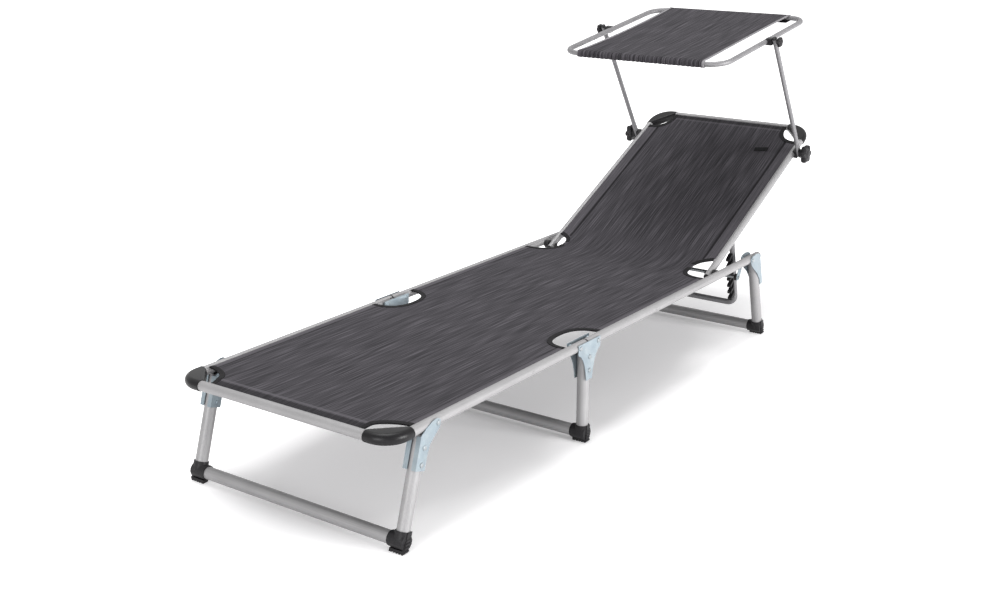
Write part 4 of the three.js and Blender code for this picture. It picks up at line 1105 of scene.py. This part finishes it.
# 1 where the camera sees a thing itself or mirrored in metal, 0 where it lights the object
def seenDirectly(tree):
    path = addNode(tree, "ShaderNodeLightPath")
    seen = path.outputs["Is Camera Ray"]
    for kind in ("Is Glossy Ray", "Is Transmission Ray"):
        either = addNode(tree, "ShaderNodeMath", {0: seen, 1: path.outputs[kind]}, operation="MAXIMUM")
        seen = either.outputs[0]
    return seen


# White paper: where it is seen it shines a little, more away from the lounger, so that it stays white
def floorMaterial():
    material, tree, shader = startMaterial("whitePaperFloor", Roughness=0.9, Specular_IOR_Level=0)
    shader.inputs["Base Color"].default_value = linear(backdrop["colour"])
    squeezed = addNode(
        tree, "ShaderNodeMapping",
        {"Vector": objectPlace(tree), "Location": backdrop["shift"], "Scale": backdrop["squeeze"]},
    )
    away = addNode(tree, "ShaderNodeVectorMath", {0: squeezed.outputs[0]}, operation="LENGTH")
    strength = addNode(
        tree, "ShaderNodeMapRange",
        {
            "Value": away.outputs["Value"], "From Min": backdrop["from"], "From Max": backdrop["to"],
            "To Min": backdrop["near"], "To Max": backdrop["far"],
        },
    )
    glow = addNode(tree, "ShaderNodeEmission", {"Color": (1, 1, 1, 1), "Strength": strength.outputs[0]})
    both = addNode(tree, "ShaderNodeAddShader", {0: shader.outputs[0], 1: glow.outputs[0]})
    inputs = {0: seenDirectly(tree), 1: shader.outputs[0], 2: both.outputs[0]}
    choose = addNode(tree, "ShaderNodeMixShader", inputs)
    output = next(n for n in tree.nodes if n.type == "OUTPUT_MATERIAL")
    tree.links.new(choose.outputs[0], output.inputs["Surface"])
    return material


bm = bmesh.new()
bmesh.ops.create_grid(bm, x_segments=1, y_segments=1, size=backdrop["size"])
floorMesh = bpy.data.meshes.new("floor")
bm.to_mesh(floorMesh)
bm.free()
floor = bpy.data.objects.new("floor", floorMesh)
scene.collection.objects.link(floor)
floorMesh.materials.append(floorMaterial())

world = bpy.data.worlds.new("studio")
scene.world = world
world.use_nodes = True
tree = world.node_tree
background = next(n for n in tree.nodes if n.type == "BACKGROUND")
background.inputs["Color"].default_value = (1, 1, 1, 1)
background.inputs["Strength"].default_value = backdrop["skyLight"]
white = addNode(tree, "ShaderNodeBackground", {"Color": (1, 1, 1, 1), "Strength": 1})
choose = addNode(
    tree, "ShaderNodeMixShader", {0: seenDirectly(tree), 1: background.outputs[0], 2: white.outputs[0]}
)
output = next(n for n in tree.nodes if n.type == "OUTPUT_WORLD")
tree.links.new(choose.outputs[0], output.inputs["Surface"])

lamps = {
    "topSoftbox": {"at": (-1, 0, 7), "aim": (0, 0, 0.2), "size": 4, "power": 280},
    "rightSoftbox": {"at": (6.4, 0.4, 1.5), "aim": (0, 0, 0.2), "size": 2.6, "power": 470},
    "frontSoftbox": {"at": (0.6, -6.4, 1.5), "aim": (0, 0, 0.2), "size": 2.6, "power": 165},
}
for name, lamp in lamps.items():
    data = bpy.data.lights.new(name, "AREA")
    data.shape = "SQUARE"
    data.size = lamp["size"]
    data.energy = lamp["power"]
    holder = bpy.data.objects.new(name, data)
    holder.location = lamp["at"]
    holder.rotation_euler = (Vector(lamp["aim"]) - Vector(lamp["at"])).to_track_quat("-Z", "Y").to_euler()
    scene.collection.objects.link(holder)

view = {
    "at": (1.80633, -2.774622, 1.260887), "aim": (-0.128392, -0.051788, 0.215412),
    "lens": 48.708, "roll": 0.011,
}
cameraData = bpy.data.cameras.new("camera")
cameraData.sensor_fit = "HORIZONTAL"
cameraData.sensor_width = 36
cameraData.lens = view["lens"]
camera = bpy.data.objects.new("camera", cameraData)
camera.location = view["at"]
aimed = (Vector(view["aim"]) - Vector(view["at"])).to_track_quat("-Z", "Y")
camera.rotation_euler = (aimed.to_matrix() @ Matrix.Rotation(math.radians(view["roll"]), 3, "Z")).to_euler()
scene.collection.objects.link(camera)
scene.camera = camera
scene.view_settings.view_transform = "Standard"

print("stage set")
